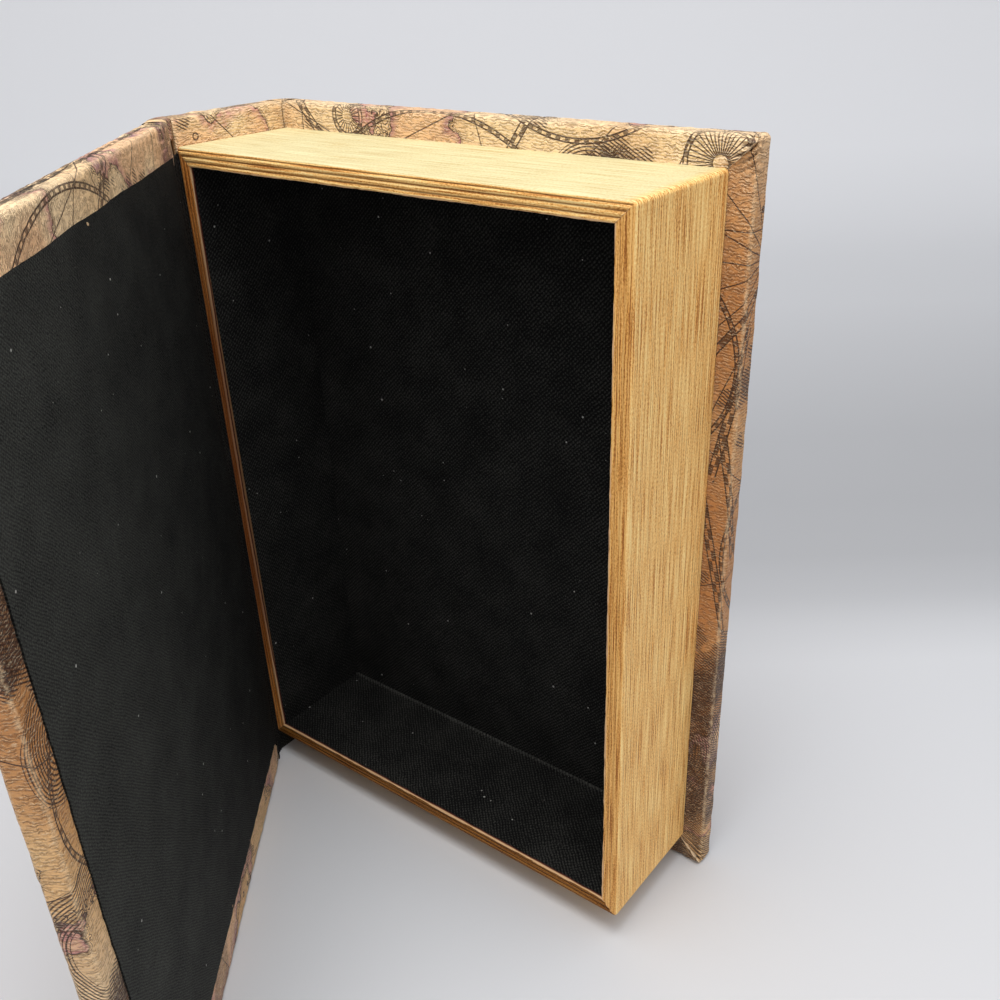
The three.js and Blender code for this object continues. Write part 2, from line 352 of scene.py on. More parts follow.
def covering(board, turned_in):
    """The sheet round one board: six faces of the sharp block, rounded together, with a window in
    the inner face, and the same again a sheet's thickness further in. `turned_in` holds the
    widths of the tail, head and fore-edge margins."""
    length, depth, height = board.size
    lines = [edge_lines(size, radius, sheet_step) for size, radius in zip(board.size, board.radii)]
    if turned_in[2]:
        lines[0] = closer(lines[0], length - gather_width, length - board.radii[0])
        lines[2] = closer(lines[2], board.radii[2], gather_zone)
        lines[2] = closer(lines[2], height - gather_zone, height - board.radii[2])
    u, v = np.meshgrid(lines[0], lines[2], indexing="ij")
    side_w, side_v = np.meshgrid(lines[1], lines[2], indexing="ij")
    end_u, end_w = np.meshgrid(lines[0], lines[1], indexing="ij")
    tail, head, fore_edge = turned_in
    middle_u = (u[1:, 1:] + u[:-1, :-1]) / 2
    middle_v = (v[1:, 1:] + v[:-1, :-1]) / 2
    window = (middle_u > window_start) & (middle_u < length - fore_edge - under_lining)
    window &= (middle_v > tail + under_lining) & (middle_v < height - head - under_lining)
    far_w, far_u = 0 * u + depth, 0 * side_w + length
    far_s, far_side = 2 * length + depth - u, length + side_w
    folds = [gathers(board, u, far_w, v), gathers(board, far_u, side_w, side_v)]
    if not fore_edge:
        folds = [(0 * u, 0 * u), (0 * side_w, 0 * side_w)]
    faces = ((u, 0 * u, v, u, v, {}),
             (u, far_w, v, far_s, v, {"keep": ~window, "lift": folds[0][0], "crease": folds[0][1]}),
             (0 * side_w, side_w, side_v, -side_w, side_v, {}),
             (far_u, side_w, side_v, far_side, side_v, {"lift": folds[1][0], "crease": folds[1][1]}),
             (end_u, end_w, 0 * end_u, end_u, -end_w, {}),
             (end_u, end_w, 0 * end_u + height, end_u, height + end_w, {}))
    outside = [board_patch(board, *place, **more) for *place, more in faces]
    inside = [board_patch(board, *place, **{**more, "lift": more.get("lift", 0) - covering_thickness})
              for *place, more in faces]
    run = board.sheet_start + board.sheet_run * far_s
    return outside + inside + window_rim(window, outside[1].points, inside[1].points, run, v)


# %% [markdown]
# The folded margins and all the cloth are thin plates that lie on something. Two grids, a face
# and a back that is sunk a little into what it lies on, are closed by strips along the cut edges.
# At a corner the margin's slanted end is pressed together, so it puckers in a row of small lobes.

# %% A thin plate
def plate(front, back, s, t, edge_raw=1.0, worn=0.0):
    """A thin closed plate: a grid for each face, and a narrow strip along each side between
    them. The sides are the sheet's cut edges, and the face pales just before them."""
    raw = np.zeros(front.shape[:2])
    raw[[0, -1], :] = edge_raw * 0.6
    raw[:, [0, -1]] = edge_raw * 0.6
    s, t = np.broadcast_to(s, raw.shape), np.broadcast_to(t, raw.shape)
    side = lambda take: patch(np.stack([take(front), take(back)]),
                              np.stack([take(s)] * 2), np.stack([take(t)] * 2), edge_raw)
    return [
        patch(front, s, t, raw, worn),
        patch(back, s, t),
        side(lambda grid: grid[0]),
        side(lambda grid: grid[-1]),
        side(lambda grid: grid[:, 0]),
        side(lambda grid: grid[:, -1]),
    ]


# %% A folded margin
turn_in_lift = 0.38 * mm
turn_in_sink = 0.25 * mm
fine_cell = 0.35 * mm
cut_waver = 0.35 * mm
cut_waver_length = 6 * mm
mitre_overlap = 0.3 * mm
hinge_taper = 4.0 * mm
taper_start = 0.4
frill_height = 1.0 * mm
frill_pitch = 2.4 * mm
frill_reach = 4.5 * mm
frill_fade = 4 * mm
lobe_depth = 0.6 * mm


def turn_in(board, width, at_head, start_u, taper, slanted):
    """A margin of the sheet folded over the head or tail edge on to the inner face. It rises from
    the board along the rounded edge until it lies one sheet's thickness above the face. Its far
    end is cut on the slant at the corner, where it puckers in a row of small lobes, and its hinge
    end curves back by the taper."""
    length, depth, height = board.size
    over_edge = np.linspace(-depth / 2, 0, 9)[:-1]
    on_face = edge_lines(width + under_lining, fine_cell * 2, sheet_step / 4)
    q = np.concatenate([over_edge, on_face])[:, None]
    share = 1 - np.linspace(1, 0, round(length / sheet_step))[None, :] ** 1.6
    share = np.clip(share, fine_cell / length, 1 - fine_cell / length)
    share[:, 0], share[:, -1] = 0, 1
    slant = length - np.clip(q, 0, None) + mitre_overlap if slanted else length + 0 * q
    slant = slant + cut_waver * line_ripple(q, cut_waver_length, board.seed + 5)
    lobe = np.sqrt(np.abs(np.sin(math.pi * q / frill_pitch))) * ease(q / (2 * mm)) * slanted
    lobe = lobe * ease(2.2 - q / frill_fade)
    slant = slant + lobe_depth * lobe
    end_u = np.minimum(slant, length - fine_cell)
    first_u = start_u + taper * np.clip((q / width - taper_start) / (1 - taper_start), 0, 1) ** 2
    u = first_u + (end_u - first_u) * share
    w = depth + np.minimum(q, 0) + 0 * u
    inwards = np.maximum(q, 0) + 0 * u
    v = height - inwards if at_head else inwards
    lift = turn_in_lift * ease((q + depth / 3) / (depth / 3)) + 0 * u
    at_cut = ease(1 - (end_u - u) / frill_reach)
    lift = lift + frill_height * (lobe - 0.3 * (lobe > 0)) * at_cut
    # The furrows between the lobes become creases, which the finish paints dark as shade.
    furrow = (1 - np.abs(np.sin(math.pi * q / frill_pitch))) ** 1.3 * ease(2.4 - q / frill_fade)
    crease = slanted * furrow * at_cut * ease(q / mm)
    front = on_board(board, u, w, v, lift)
    back = on_board(board, u, w, v, -turn_in_sink)
    t = height + depth + q if at_head else -depth - q
    return plate(front, back, board.sheet_start + board.sheet_run * u, t,
                 worn=fold_wear_and_light(board, u, w, v, crease))


# %% [markdown]
# The three boards stand in the order in which the flat sheet meets them: back cover, spine,
# front cover. The sheet's zero is the middle of the spine, so the back cover's places are
# negative. The joints take up the length between the boards.

# %% Three boards in one sheet
spine_low, spine_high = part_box("spine_printed_sheet")
spine_half = (spine_high.y - spine_low.y) / 2
joint_run = 10.5 * mm
lining_gap = 0.3 * mm
lining_low, lining_high = reach("back_inner_lining", upwards)
turned_in_tail = lining_low - lining_gap
turned_in_head = spine_high.z - lining_high - lining_gap
turned_in_fore_edge = (reach("back_printed_sheet", to_fore_edge)[1]
                       - reach("back_inner_lining", to_fore_edge)[1] - lining_gap)
back_board = board_from("back_printed_sheet", (0, 0, 0), to_fore_edge, to_front,
                        -spine_half - joint_run, -1, 11, cover_edge_radius)
spine_board = board_from("spine_printed_sheet", (0, 0, 0), to_front, to_fore_edge,
                         -spine_half, 1, 23, spine_edge_radius)
front_board = board_from("front_printed_sheet", fold_line, cover_along, cover_inward,
                         spine_half + joint_run, 1, 37, cover_edge_radius)
for title, board in (("back", back_board), ("spine", spine_board), ("front", front_board)):
    print(title, "board in mm", np.round(board.size / mm, 1))
print("margins in mm", round(turned_in_tail / mm, 1), round(turned_in_head / mm, 1),
      round(turned_in_fore_edge / mm, 1))

# %% Making the three coverings
margins = (turned_in_tail, turned_in_head, turned_in_fore_edge)


def covered(name, board, widths, start_u, taper, slanted):
    """The covering of one board with its two folded margins, in one mesh."""
    patches = covering(board, widths)
    patches += turn_in(board, widths[1], True, start_u, taper * 0.25, slanted)
    patches += turn_in(board, widths[0], False, start_u, taper, slanted)
    return skin(name, patches)


back_covering = covered("back_covering", back_board, margins, 0.6 * mm, 0.0, True)
spine_covering = covered("spine_covering", spine_board, (*margins[:2], 0), 0.2 * mm, 0.0, False)
front_covering = covered("front_covering", front_board, margins, 0.5 * mm, hinge_taper, True)
print("faces", [len(piece.data.polygons) for piece in (back_covering, spine_covering, front_covering)])

# %% [markdown]
# At a joint the sheet has no board behind it. It bends from the spine's outer face to the
# cover's, doubled at head and tail where the margin is turned in. It is drawn as a closed ring
# across the sheet, rounded at both ends, and carried along a curve with two handles that leave
# the boards straight. The cloth inside it follows the same curve, a sheet's thickness further in.

# %% The curve of a joint
joint_handle = 3 * mm
joint_tuck = 2 * mm
curve_steps = 28


def joint_curve(start, start_direction, end, end_direction):
    """A cubic curve with both handles of one length, and a short straight tuck behind each board
    at its ends. Returns its points, its sideways directions and the distance along it."""
    share = np.linspace(0, 1, curve_steps)[:, None]
    first_handle = start + start_direction * joint_handle
    last_handle = end - end_direction * joint_handle
    points = ((1 - share) ** 3 * start + 3 * (1 - share) ** 2 * share * first_handle
              + 3 * (1 - share) * share ** 2 * last_handle + share ** 3 * end)
    points = np.concatenate([[start - start_direction * joint_tuck], points,
                             [end + end_direction * joint_tuck]])
    tangent = np.gradient(points, axis=0)
    tangent /= np.linalg.norm(tangent, axis=1, keepdims=True)
    sideways = np.stack([-tangent[:, 1], tangent[:, 0], 0 * tangent[:, 0]], -1)
    steps = np.linalg.norm(np.diff(points, axis=0), axis=1)
    return points, sideways, np.concatenate([[0], np.cumsum(steps)]) - joint_tuck


# %% The sheet in a joint
cover_height = front_board.size[2]
bridge_crease = 0.5 * mm
bridge_flat = 5.5 * mm
bridge_slope = 3.5 * mm


def bridged(curve, inside, thickness, across, heights):
    """How far the inner side of a joint is moved at each row and height. Near head and tail the
    margin turned in over the joint spans straight across it, from one board to the other, but
    for a crease in the middle."""
    points, sideways, _ = curve
    share = np.clip(np.linspace(0, 1, len(points)), 0, 1)[:, None]
    flat = np.array(across[0]) + (np.array(across[1]) - np.array(across[0])) * share
    target = flat - inside * sideways * bridge_crease * np.exp(-((share - 0.5) / 0.16) ** 2)
    move = target - points - inside * sideways * thickness
    from_end = np.minimum(heights, cover_height - heights)
    return move[:, None, :] * ease(1 - (from_end - bridge_flat) / bridge_slope)[None, :, None]


def joint_band(name, curve, inside, thickness, across, sheet_at, seed):
    """The bare joint: a ring with round ends in depth and height, carried along the curve, whose
    inner side bridges the boards near head and tail."""
    points, sideways, distance = curve
    radius, height = thickness / 2, cover_height
    half_turn = np.linspace(0, math.pi, 9)
    straight = np.linspace(radius, height - radius, round(height / (1.2 * mm)))
    ring_z = np.concatenate([straight, height - radius + radius * np.sin(half_turn[1:-1]),
                             straight[::-1], radius - radius * np.sin(half_turn[1:-1]),
                             straight[:1]])
    side = np.concatenate([0 * straight, (1 - np.cos(half_turn[1:-1])) / 2, 0 * straight + 1,
                           (1 + np.cos(half_turn[1:-1])) / 2, [0]])
    around = np.concatenate([[0], np.cumsum(np.hypot(np.diff(ring_z), np.diff(side) * thickness))])
    place = points[:, None, :] + inside * sideways[:, None, :] * (side * thickness)[None, :, None]
    place = place + bridged(curve, inside, thickness, across, ring_z) * side[None, :, None]
    place = place + upwards * ring_z[None, :, None]
    wave = leather_swell * (ripple(place, leather_swell_length, seed) - 1) / 2
    place = place - inside * sideways[:, None, :] * wave[..., None] * (1 - 2 * side[None, :, None])
    return skin(name, [patch(place, sheet_at(distance)[:, None], straight[0] + around[None, :])])


# %% Both joints
band_thickness = 1.2 * mm
bridge_inset = 0.5 * mm
bridge_reach = 0.6 * mm
outer_corner = np.array([spine_low.x, spine_low.y, 0.0])
front_curve = joint_curve(outer_corner, to_front, front_board.origin * (1, 1, 0), cover_along)
back_curve = joint_curve(np.array([spine_low.x, spine_high.y, 0.0]), -to_front,
                         back_board.origin * (1, 1, 0), to_fore_edge)
front_across = ((spine_high.x - bridge_inset, spine_low.y + bridge_inset, 0),
                front_board.origin * (1, 1, 0) + cover_along * bridge_reach
                + cover_inward * (front_board.size[1] - bridge_inset))
back_across = ((spine_high.x - bridge_inset, spine_high.y - bridge_inset, 0),
               (back_board.origin[0] + bridge_reach,
                back_board.origin[1] - back_board.size[1] + bridge_inset, 0))
front_joint = joint_band("front_joint", front_curve, 1, band_thickness, front_across,
                         lambda distance: spine_half + distance, 41)
back_joint = joint_band("back_joint", back_curve, -1, band_thickness, back_across,
                        lambda distance: -spine_half - distance, 43)
print("front joint runs", round(front_curve[2][-2] / mm, 1), "mm along the sheet")

# %% [markdown]
# Black cloth lines everything inside. On the front cover it is one panel between the margins,
# which runs down over the board's end into the joint. In the joint it starts at the tray's rim,
# crosses the spine's edge and follows the bend. Its cut edges waver a little.

# %% Cloth on the cover and in the joint
cloth_proud = 0.45 * mm
cloth_sink = 0.25 * mm
cloth_step = 2.2 * mm
cloth_waver = 0.25 * mm
cloth_waver_lengths = 30 * mm, 22 * mm
waver_zone = 4 * mm
tail_drop = 6 * mm
tail_drop_zone = 12 * mm
cloth_low, cloth_high = reach("front_cover_lining", upwards)


def height_lines(low, high, step):
    """Places up the cloth, a step apart, with a fine cell at each cut edge."""
    middle = np.linspace(low + fine_cell, high - fine_cell, round((high - low) / step))
    return np.concatenate([[low], middle, [high]])


def cover_cloth(board):
    """The panel on the front cover: from the fore-edge margin along the inner face, round the
    board's end and down towards the fold, at a constant small height above the board. Near the
    fold its tail edge hangs lower. It is painted darker towards the fold, as shade."""
    length, depth, height = board.size
    panel_end = reach("front_cover_lining", cover_along, board.origin * (1, 1, 0))[1]
    down_end = np.linspace(-depth * 0.78, 0, 9)[:-1]
    along_face = edge_lines(panel_end, fine_cell * 2, cloth_step)
    q = np.concatenate([down_end, along_face])[None, :]
    v = height_lines(cloth_low, cloth_high, cloth_step)[:, None]
    at = np.stack(np.broadcast_arrays(q, v, 0 * v), -1)
    near_edge = ease(1 - np.minimum(v - cloth_low, cloth_high - v) / waver_zone)
    v = v + near_edge * cloth_waver * ripple(at, cloth_waver_lengths[0], 51)
    drop = tail_drop * (1 - np.sqrt(np.clip(q / hinge_taper, 0, 1)))
    v = v - drop * ease((cloth_low - v) / tail_drop_zone + 1)
    near_end = ease(1 - (panel_end - q) / waver_zone)
    u = np.maximum(q, 0) + near_end * cloth_waver * ripple(at, cloth_waver_lengths[1], 52)
    w = depth + np.minimum(q, 0) + 0 * u
    u, w, v = np.broadcast_arrays(u, w, v)
    front = on_board(board, u, w, v, cloth_proud + 0 * u)
    back = on_board(board, u, w, v, -cloth_sink + 0 * u)
    # Painted shade: the mark is 0 at the fold and rises towards the fore-edge, so the cloth is darker near
    # the fold.
    return skin("cover_cloth", plate(front, back, q + 0 * v, v, 0.4, ease(u / length) * 0.7))


front_cloth = cover_cloth(front_board)
print("cover cloth", round((cloth_high - cloth_low) / mm, 1), "mm tall")

# %% Cloth in the joint
tray_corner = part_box("spine_side_page_sheet")[0]
joint_cloth_thickness = 0.35 * mm
joint_cloth_lift = 0.25 * mm
rim_overlap = 0.5 * mm
ledge_rise = 0.35 * mm
ledge_reach = 1.2 * mm
joint_drop = 11.0 * mm


def joint_cloth(curve):
    """A strip whose path starts at the tray's rim, runs along the spine's edge and then spans
    the joint to the cover's inner face. The corner between the two is softened by averaging."""
    points, sideways, _ = curve
    z = height_lines(cloth_low - joint_drop, cloth_high, cloth_step)
    lift = band_thickness + joint_cloth_lift
    moved = bridged(curve, 1, band_thickness, front_across, 0 * z)
    inner = (points + sideways * lift)[:, None, :] + moved
    inner = inner[2:-1]
    rim_end = np.array([tray_corner.x + rim_overlap, tray_corner.y - joint_cloth_lift, 0])
    spine_end = inner[0] * (1, 0, 0) + (ledge_reach, tray_corner.y - ledge_rise, 0)
    ledge = rim_end + np.linspace(0, 1, 12)[:, None, None] * (spine_end - rim_end)
    path = np.concatenate([ledge, inner])
    smoothed = path.copy()
    smoothed[1:-1] = (path[:-2] + 2 * path[1:-1] + path[2:]) / 4
    tangent = np.gradient(smoothed, axis=0)
    tangent /= np.linalg.norm(tangent, axis=-1, keepdims=True)
    inwards = np.stack([-tangent[..., 1], tangent[..., 0], 0 * tangent[..., 0]], -1)
    steps = np.linalg.norm(np.diff(smoothed, axis=0), axis=-1)
    distance = np.concatenate([0 * steps[:1], np.cumsum(steps, axis=0)])
    back = smoothed + upwards * z[:, None]
    front = back + inwards * joint_cloth_thickness
    return skin("joint_cloth", plate(front, back, distance, z + 0 * distance, edge_raw=0.4))


joint_lining = joint_cloth(front_curve)
print("joint cloth has", len(joint_lining.data.polygons), "faces")

# %% [markdown]
# Round the tray goes paper that looks like a block of gilt pages. It could be a texture on flat
# walls, but the rim is what the camera sees best, so its three rounded ridges, the fine ridges of
# the page edges and the cut mitres are all in the surface. Each of the four sheets covers one
# wall, turns over the front edge and ends in a raw edge at the compartment.

# %% The tray's measures
walls = ("head", "tail", "fore_edge", "spine_side")
wall_boxes = np.array([[list(corner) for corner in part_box(wall + "_page_sheet")] for wall in walls])
tray_origin = wall_boxes[:, 0].min(0)
tray_size = wall_boxes[:, 1].max(0) - tray_origin
rim_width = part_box("spine_side_page_sheet")[1].x - tray_origin[0]
corner_radius = 1.35 * mm
front_edge_radius = 1.3 * mm
ridge_count = 3
first_groove = 0.85 * mm
groove_depth = 0.48 * mm
last_ridge_cut = 0.25 * mm
ridge_width = (rim_width - first_groove + last_ridge_cut) / ridge_count
print("tray in mm", np.round(tray_size / mm, 1), "rim", round(rim_width / mm, 1))


def on_tray(x, y, z, lift):
    """Points on the tray's rounded outside over the places of a sharp block whose front is at
    zero. Its back edge stays sharp, because the tray stands on the back cover."""
    flat = np.stack(np.broadcast_arrays(x, y, z), -1).astype(float)
    radii = np.array([corner_radius, front_edge_radius, corner_radius])
    far = tray_size - radii + np.array([0, 2 * front_edge_radius, 0])
    core = np.clip(flat, radii, far)
    outward = (flat - core) / radii
    outward /= np.maximum(np.linalg.norm(outward, axis=-1, keepdims=True), 1e-9)
    return tray_origin + core + outward * (radii + np.asarray(lift)[..., None])


def ridges(inward, depth):
    """Depth below the crests at a distance inward from the wall's outer face: round ridges with
    narrow grooves between them, as the root of a sine."""
    turn = np.clip(inward - first_groove, -ridge_width / 2, None) / ridge_width
    return depth * (1 - np.abs(np.sin(math.pi * turn)) ** 0.55)


# %% The paper on one wall
page_ridge = 0.09 * mm
page_pitch = 0.6 * mm
page_knot = 45 * mm
paper_step = 1.8 * mm
wall_step = 0.24 * mm
corner_calm = 4 * mm
back_calm = 4 * mm
raw_fold = 0.95 * mm
raw_margin = 0.42 * mm
rim_waver = 0.14 * mm
rim_waver_length = 16 * mm
rim_jag_length = 3 * mm
mitre_lift_reach = 4.5 * mm


def page_edge(name, horizontal, far_side, groove, lifted, bow, seed):
    """One wall's paper. Columns run along the wall. Rows run from the back edge over the outer
    face, across the ridged rim, where the columns close in to the mitres, and down the raw
    edge. `groove` is the depth between the ridges, `lifted` raises the rim's ends, and `bow`
    moves its inner edge at mid length."""
    length = tray_size[0] if horizontal else tray_size[2]
    other = tray_size[2] if horizontal else tray_size[0]
    columns = edge_lines(length, corner_radius, paper_step)
    round_rows = edge_lines(3 * front_edge_radius, front_edge_radius, mm)[:arc_steps]
    wall_rows = np.concatenate([np.arange(tray_size[1], front_edge_radius, -wall_step),
                                round_rows[::-1]])
    rim_rows = np.concatenate([round_rows, np.linspace(front_edge_radius, rim_width, 42)[1:]])

    def world(along, inward, depth, lift):
        across = other - inward if far_side else inward
        spots = (along, depth, across) if horizontal else (across, depth, along)
        return on_tray(*spots, lift)

    wall_depth, along = np.meshgrid(wall_rows, columns, indexing="ij")
    fine = streaks(wall_rows, columns, page_pitch, page_knot, seed)
    calm = ease(np.minimum(along, length - along) / corner_calm)
    settle = ease(wall_depth / back_calm)
    wall_lift = page_ridge * (fine - 1) * calm * settle
    wall = patch(world(along, 0 * along, wall_depth, wall_lift), along, -wall_depth)

    inward, share = np.meshgrid(rim_rows, columns / length, indexing="ij")
    waver = line_ripple(share * length, rim_waver_length, seed + 3)
    waver += 0.7 * line_ripple(share * length, rim_jag_length, seed + 4)
    reach_in = 1 + (rim_waver * waver - bow * np.sin(math.pi * share)) / rim_width
    reach_in = 1 + (reach_in - 1) * ease(inward / rim_width)
    shifted = inward * reach_in
    rim_along = inward + (length - 2 * inward) * share
    to_mitre = np.minimum(share, 1 - share) * length
    raised = lifted * ease(1 - to_mitre / mitre_lift_reach) * ease(inward / (2 * mm))
    rim_lift = raised - ridges(inward, groove) * ease(inward / (0.5 * mm))
    ragged = raw_margin * (1 + 0.8 * waver)
    raw = 0.7 * ease((inward - rim_width + ragged) / (0.2 * mm))
    raw = np.maximum(raw, 0.7 * (to_mitre < fine_cell) * (lifted > 0) * (inward > rim_width / 3))
    rim = patch(world(rim_along, shifted, 0 * inward, rim_lift), rim_along, inward, raw)

    down = np.linspace(0, raw_fold, 6)[:, None] + 0 * share[-1:]
    edge_lift = rim_lift[-1:] - down
    fold = patch(world(rim_along[-1:] + 0 * down, shifted[-1:] + 0 * down, 0 * down, edge_lift),
                 rim_along[-1:], rim_width + down, 0.7 + 0.3 * down / raw_fold)
    piece = skin(name, [wall, rim, fold])
    print(name, len(piece.data.polygons), "faces")
    return piece


# %% The four sheets of paper
mitre_lift = 0.12 * mm
faint_groove = 0.16 * mm
hinge_groove = 0.3 * mm
hinge_bow = 1.5 * mm
head_paper = page_edge("head_paper", True, True, groove_depth, mitre_lift, 0, 61)
tail_paper = page_edge("tail_paper", True, False, groove_depth, mitre_lift, 0, 62)
fore_edge_paper = page_edge("fore_edge_paper", False, True, faint_groove, 0, 0, 63)
spine_side_paper = page_edge("spine_side_paper", False, False, hinge_groove, 0, hinge_bow, 64)

# %% [markdown]
# Inside the tray the same black cloth is glued to the four walls and the base. Each panel is a
# plate a little uneven over the glue. The tail wall's panel rolls on to the base in a small round,
# which catches the light and is painted lighter there as a highlight.

# %% Cloth in the compartment
panel_step = 2.5 * mm
panel_swell = 0.1 * mm
panel_swell_length = 26 * mm
panel_calm = 6 * mm
over_margin = 0.7 * mm
seam_roll = 2.4 * mm
spine_drop = reach("spine_inner_lining", upwards)[0] - cloth_low + joint_drop


def cloth_panel(name, node, facing, roll=0.0, drop=0.0):
    """A plate in the node's box. `facing` points into the compartment along the thin axis. The
    face is moved along it by a soft unevenness that fades out at the panel's edges, and by a
    quarter round where it meets the base: the radius less the root of its square less the
    square of the way into it. A drop lets the panel hang lower, over the margin below the tray."""
    low, high = (np.array(corner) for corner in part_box(node))
    low[2] -= drop
    thin = int(np.abs(facing).argmax())
    wide = [axis for axis in range(3) if axis != thin]
    lines = [height_lines(low[axis], high[axis], panel_step) for axis in wide]
    base_side = wide.index(1) if roll else 0
    if roll:
        turn = high[1] - roll * (1 - np.sin(np.linspace(0, math.pi / 2, 9)[1:-1]))
        lines[base_side] = np.sort(np.concatenate([lines[base_side], turn]))
    first, second = np.meshgrid(*lines, indexing="ij")
    into = facing[thin] > 0
    flat = np.zeros(first.shape + (3,))
    flat[..., wide[0]], flat[..., wide[1]] = first, second
    flat[..., thin] = high[thin] if into else low[thin]
    margin = np.minimum(np.minimum(first - low[wide[0]], high[wide[0]] - first),
                        np.minimum(second - low[wide[1]], high[wide[1]] - second))
    uneven = panel_swell * (ripple(flat, panel_swell_length, len(name)) - 1)
    uneven = uneven * ease(margin / panel_calm)
    if drop:
        uneven = uneven + over_margin * ease((tray_origin[2] - 0.2 * mm - second) / mm)
    if roll:
        way = np.clip((first, second)[base_side] - (high[1] - roll), 0, roll)
        uneven = uneven + roll - np.sqrt(roll ** 2 - way ** 2)
    front = flat + np.array(facing) * uneven[..., None]
    back = flat.copy()
    back[..., thin] = low[thin] if into else high[thin]
    # Painted highlight: the round where the panel meets the base is marked lighter.
    roll_highlight = ease(uneven / roll * 4) * 0.6 if roll else 0.0
    return skin(name, plate(front, back, -first if roll else first, second, 0.4, roll_highlight))


panels = {
    "head_wall_lining": cloth_panel("head_cloth", "head_wall_lining", (0, 0, -1)),
    "tail_wall_lining": cloth_panel("tail_cloth", "tail_wall_lining", (0, 0, 1), seam_roll),
    "fore_edge_wall_lining": cloth_panel("fore_edge_cloth", "fore_edge_wall_lining", (-1, 0, 0)),
    "spine_side_wall_lining": cloth_panel("spine_side_cloth", "spine_side_wall_lining", (1, 0, 0)),
    "base_lining": cloth_panel("base_cloth", "base_lining", (0, -1, 0)),
    "back_inner_lining": cloth_panel("back_cloth", "back_inner_lining", (0, -1, 0)),
    "spine_inner_lining": cloth_panel("spine_cloth", "spine_inner_lining", (1, 0, 0), 0.0, spine_drop),
}
print(len(panels), "panels of cloth")

# %% [markdown]
# Materials are graphs of nodes. To keep each one short enough to read, `Recipe` has a word for
# every kind of node used here: a word adds the node, wires what it is given and hands back its
# output as a `Wire`. A sign between wires adds a node too, so a formula is written as a formula.
# A number that is given instead of a wire is set on the socket itself.

# %% Wires and signs
class Wire:
    """The output of a node. A sign or `abs` adds a Math node and hands back its output."""

    def __init__(self, recipe, socket):
        self.recipe, self.socket = recipe, socket

    def sign(operation, swapped=False):
        """The method for a sign. It is swapped where the wire stands after the sign."""
        return lambda self, *other: self.recipe.calc(
            operation, *((*other, self) if swapped else (self, *other)))

    __add__, __sub__, __mul__, __truediv__ = map(sign, ("ADD", "SUBTRACT", "MULTIPLY", "DIVIDE"))
    __gt__, __lt__, __abs__ = map(sign, ("GREATER_THAN", "LESS_THAN", "ABSOLUTE"))
    __rsub__, __rtruediv__ = sign("SUBTRACT", True), sign("DIVIDE", True)


# %% Words for nodes
class Recipe:
    """Adds nodes to one tree."""

    def __init__(self, tree):
        self.tree = tree

    def feed(self, socket, value):
        if isinstance(value, Wire):
            self.tree.links.new(value.socket, socket)
        else:
            socket.default_value = value

    def node(self, kind, inputs, *outputs, **settings):
        """Adds a node with its inputs and settings. Hands back a wire, or several, by output."""
        made = self.tree.nodes.new("ShaderNode" + kind)
        for key, value in settings.items():
            setattr(made, key, value)
        for key, value in inputs.items():
            self.feed(made.inputs[key], value)
        wires = [Wire(self, made.outputs[output]) for output in outputs]
        return wires[0] if len(wires) == 1 else wires

    def calc(self, operation, *values):
        return self.node("Math", dict(enumerate(values)), 0, operation=operation)

    def move(self, operation, *values):
        return self.node("VectorMath", dict(enumerate(values)), 0, operation=operation)

    def length(self, vector):
        return self.node("VectorMath", {0: vector}, 1, operation="LENGTH")

    def split(self, vector):
        return self.node("SeparateXYZ", {0: vector}, 0, 1)

    def join(self, x, y):
        return self.node("CombineXYZ", {0: x, 1: y}, 0)

    def fold(self, value, pitch):
        """The distance from the nearest even multiple of the pitch."""
        return self.calc("PINGPONG", value, pitch)

    def fade(self, value, full, none):
        """1 where the value is at `full`, falling straight to 0 at `none`."""
        return self.node("MapRange", {0: value, 1: full, 2: none, 3: 1.0, 4: 0.0}, 0)

    def noise(self, vector, scale, detail=2.0, roughness=0.5, distortion=0.0):
        return self.node("TexNoise", {"Vector": vector, "Scale": scale, "Detail": detail,
                                      "Roughness": roughness, "Distortion": distortion}, 0)

    def cells(self, vector, scale):
        """How far a place is from the middle of its cell, and two random numbers of the cell."""
        distance, colour = self.node("TexVoronoi", {"Vector": vector, "Scale": scale},
                                     "Distance", "Color")
        return distance, *self.split(colour)

    def blend(self, factor, first, second, **settings):
        return self.node("Mix", {0: factor, 6: first, 7: second}, 2, data_type="RGBA", **settings)

    def most(self, *masks):
        joined = masks[0]
        for mask in masks[1:]:
            joined = self.calc("MAXIMUM", joined, mask)
        return joined

    def ramp(self, value, stops):
        """Colours at positions from 0 to 1, blended straight between."""
        made = self.tree.nodes.new("ShaderNodeValToRGB")
        elements = made.color_ramp.elements
        for element, (place, colour) in zip(elements, (stops[0], stops[-1])):
            element.position, element.color = place, colour
        for place, colour in stops[1:-1]:
            elements.new(place).color = colour
        self.feed(made.inputs[0], value)
        return Wire(self, made.outputs[0])

    def sheet(self):
        """The place on the flat sheet, in millimetres."""
        return self.node("UVMap", {}, 0, uv_map="sheet")

    def mark(self, name):
        """A value that the mesh carries, such as raw_edge or wear_and_painted_light."""
        return self.node("Attribute", {}, 2, attribute_name=name)

    def bump(self, height, distance, strength=1.0):
        """A bump whose highest rise is the distance, in metres."""
        return self.node("Bump", {"Height": height, "Distance": distance, "Strength": strength}, 0)

    def use(self, group, inputs, *outputs):
        return self.node("Group", inputs, *(outputs or (0,)), node_tree=group)


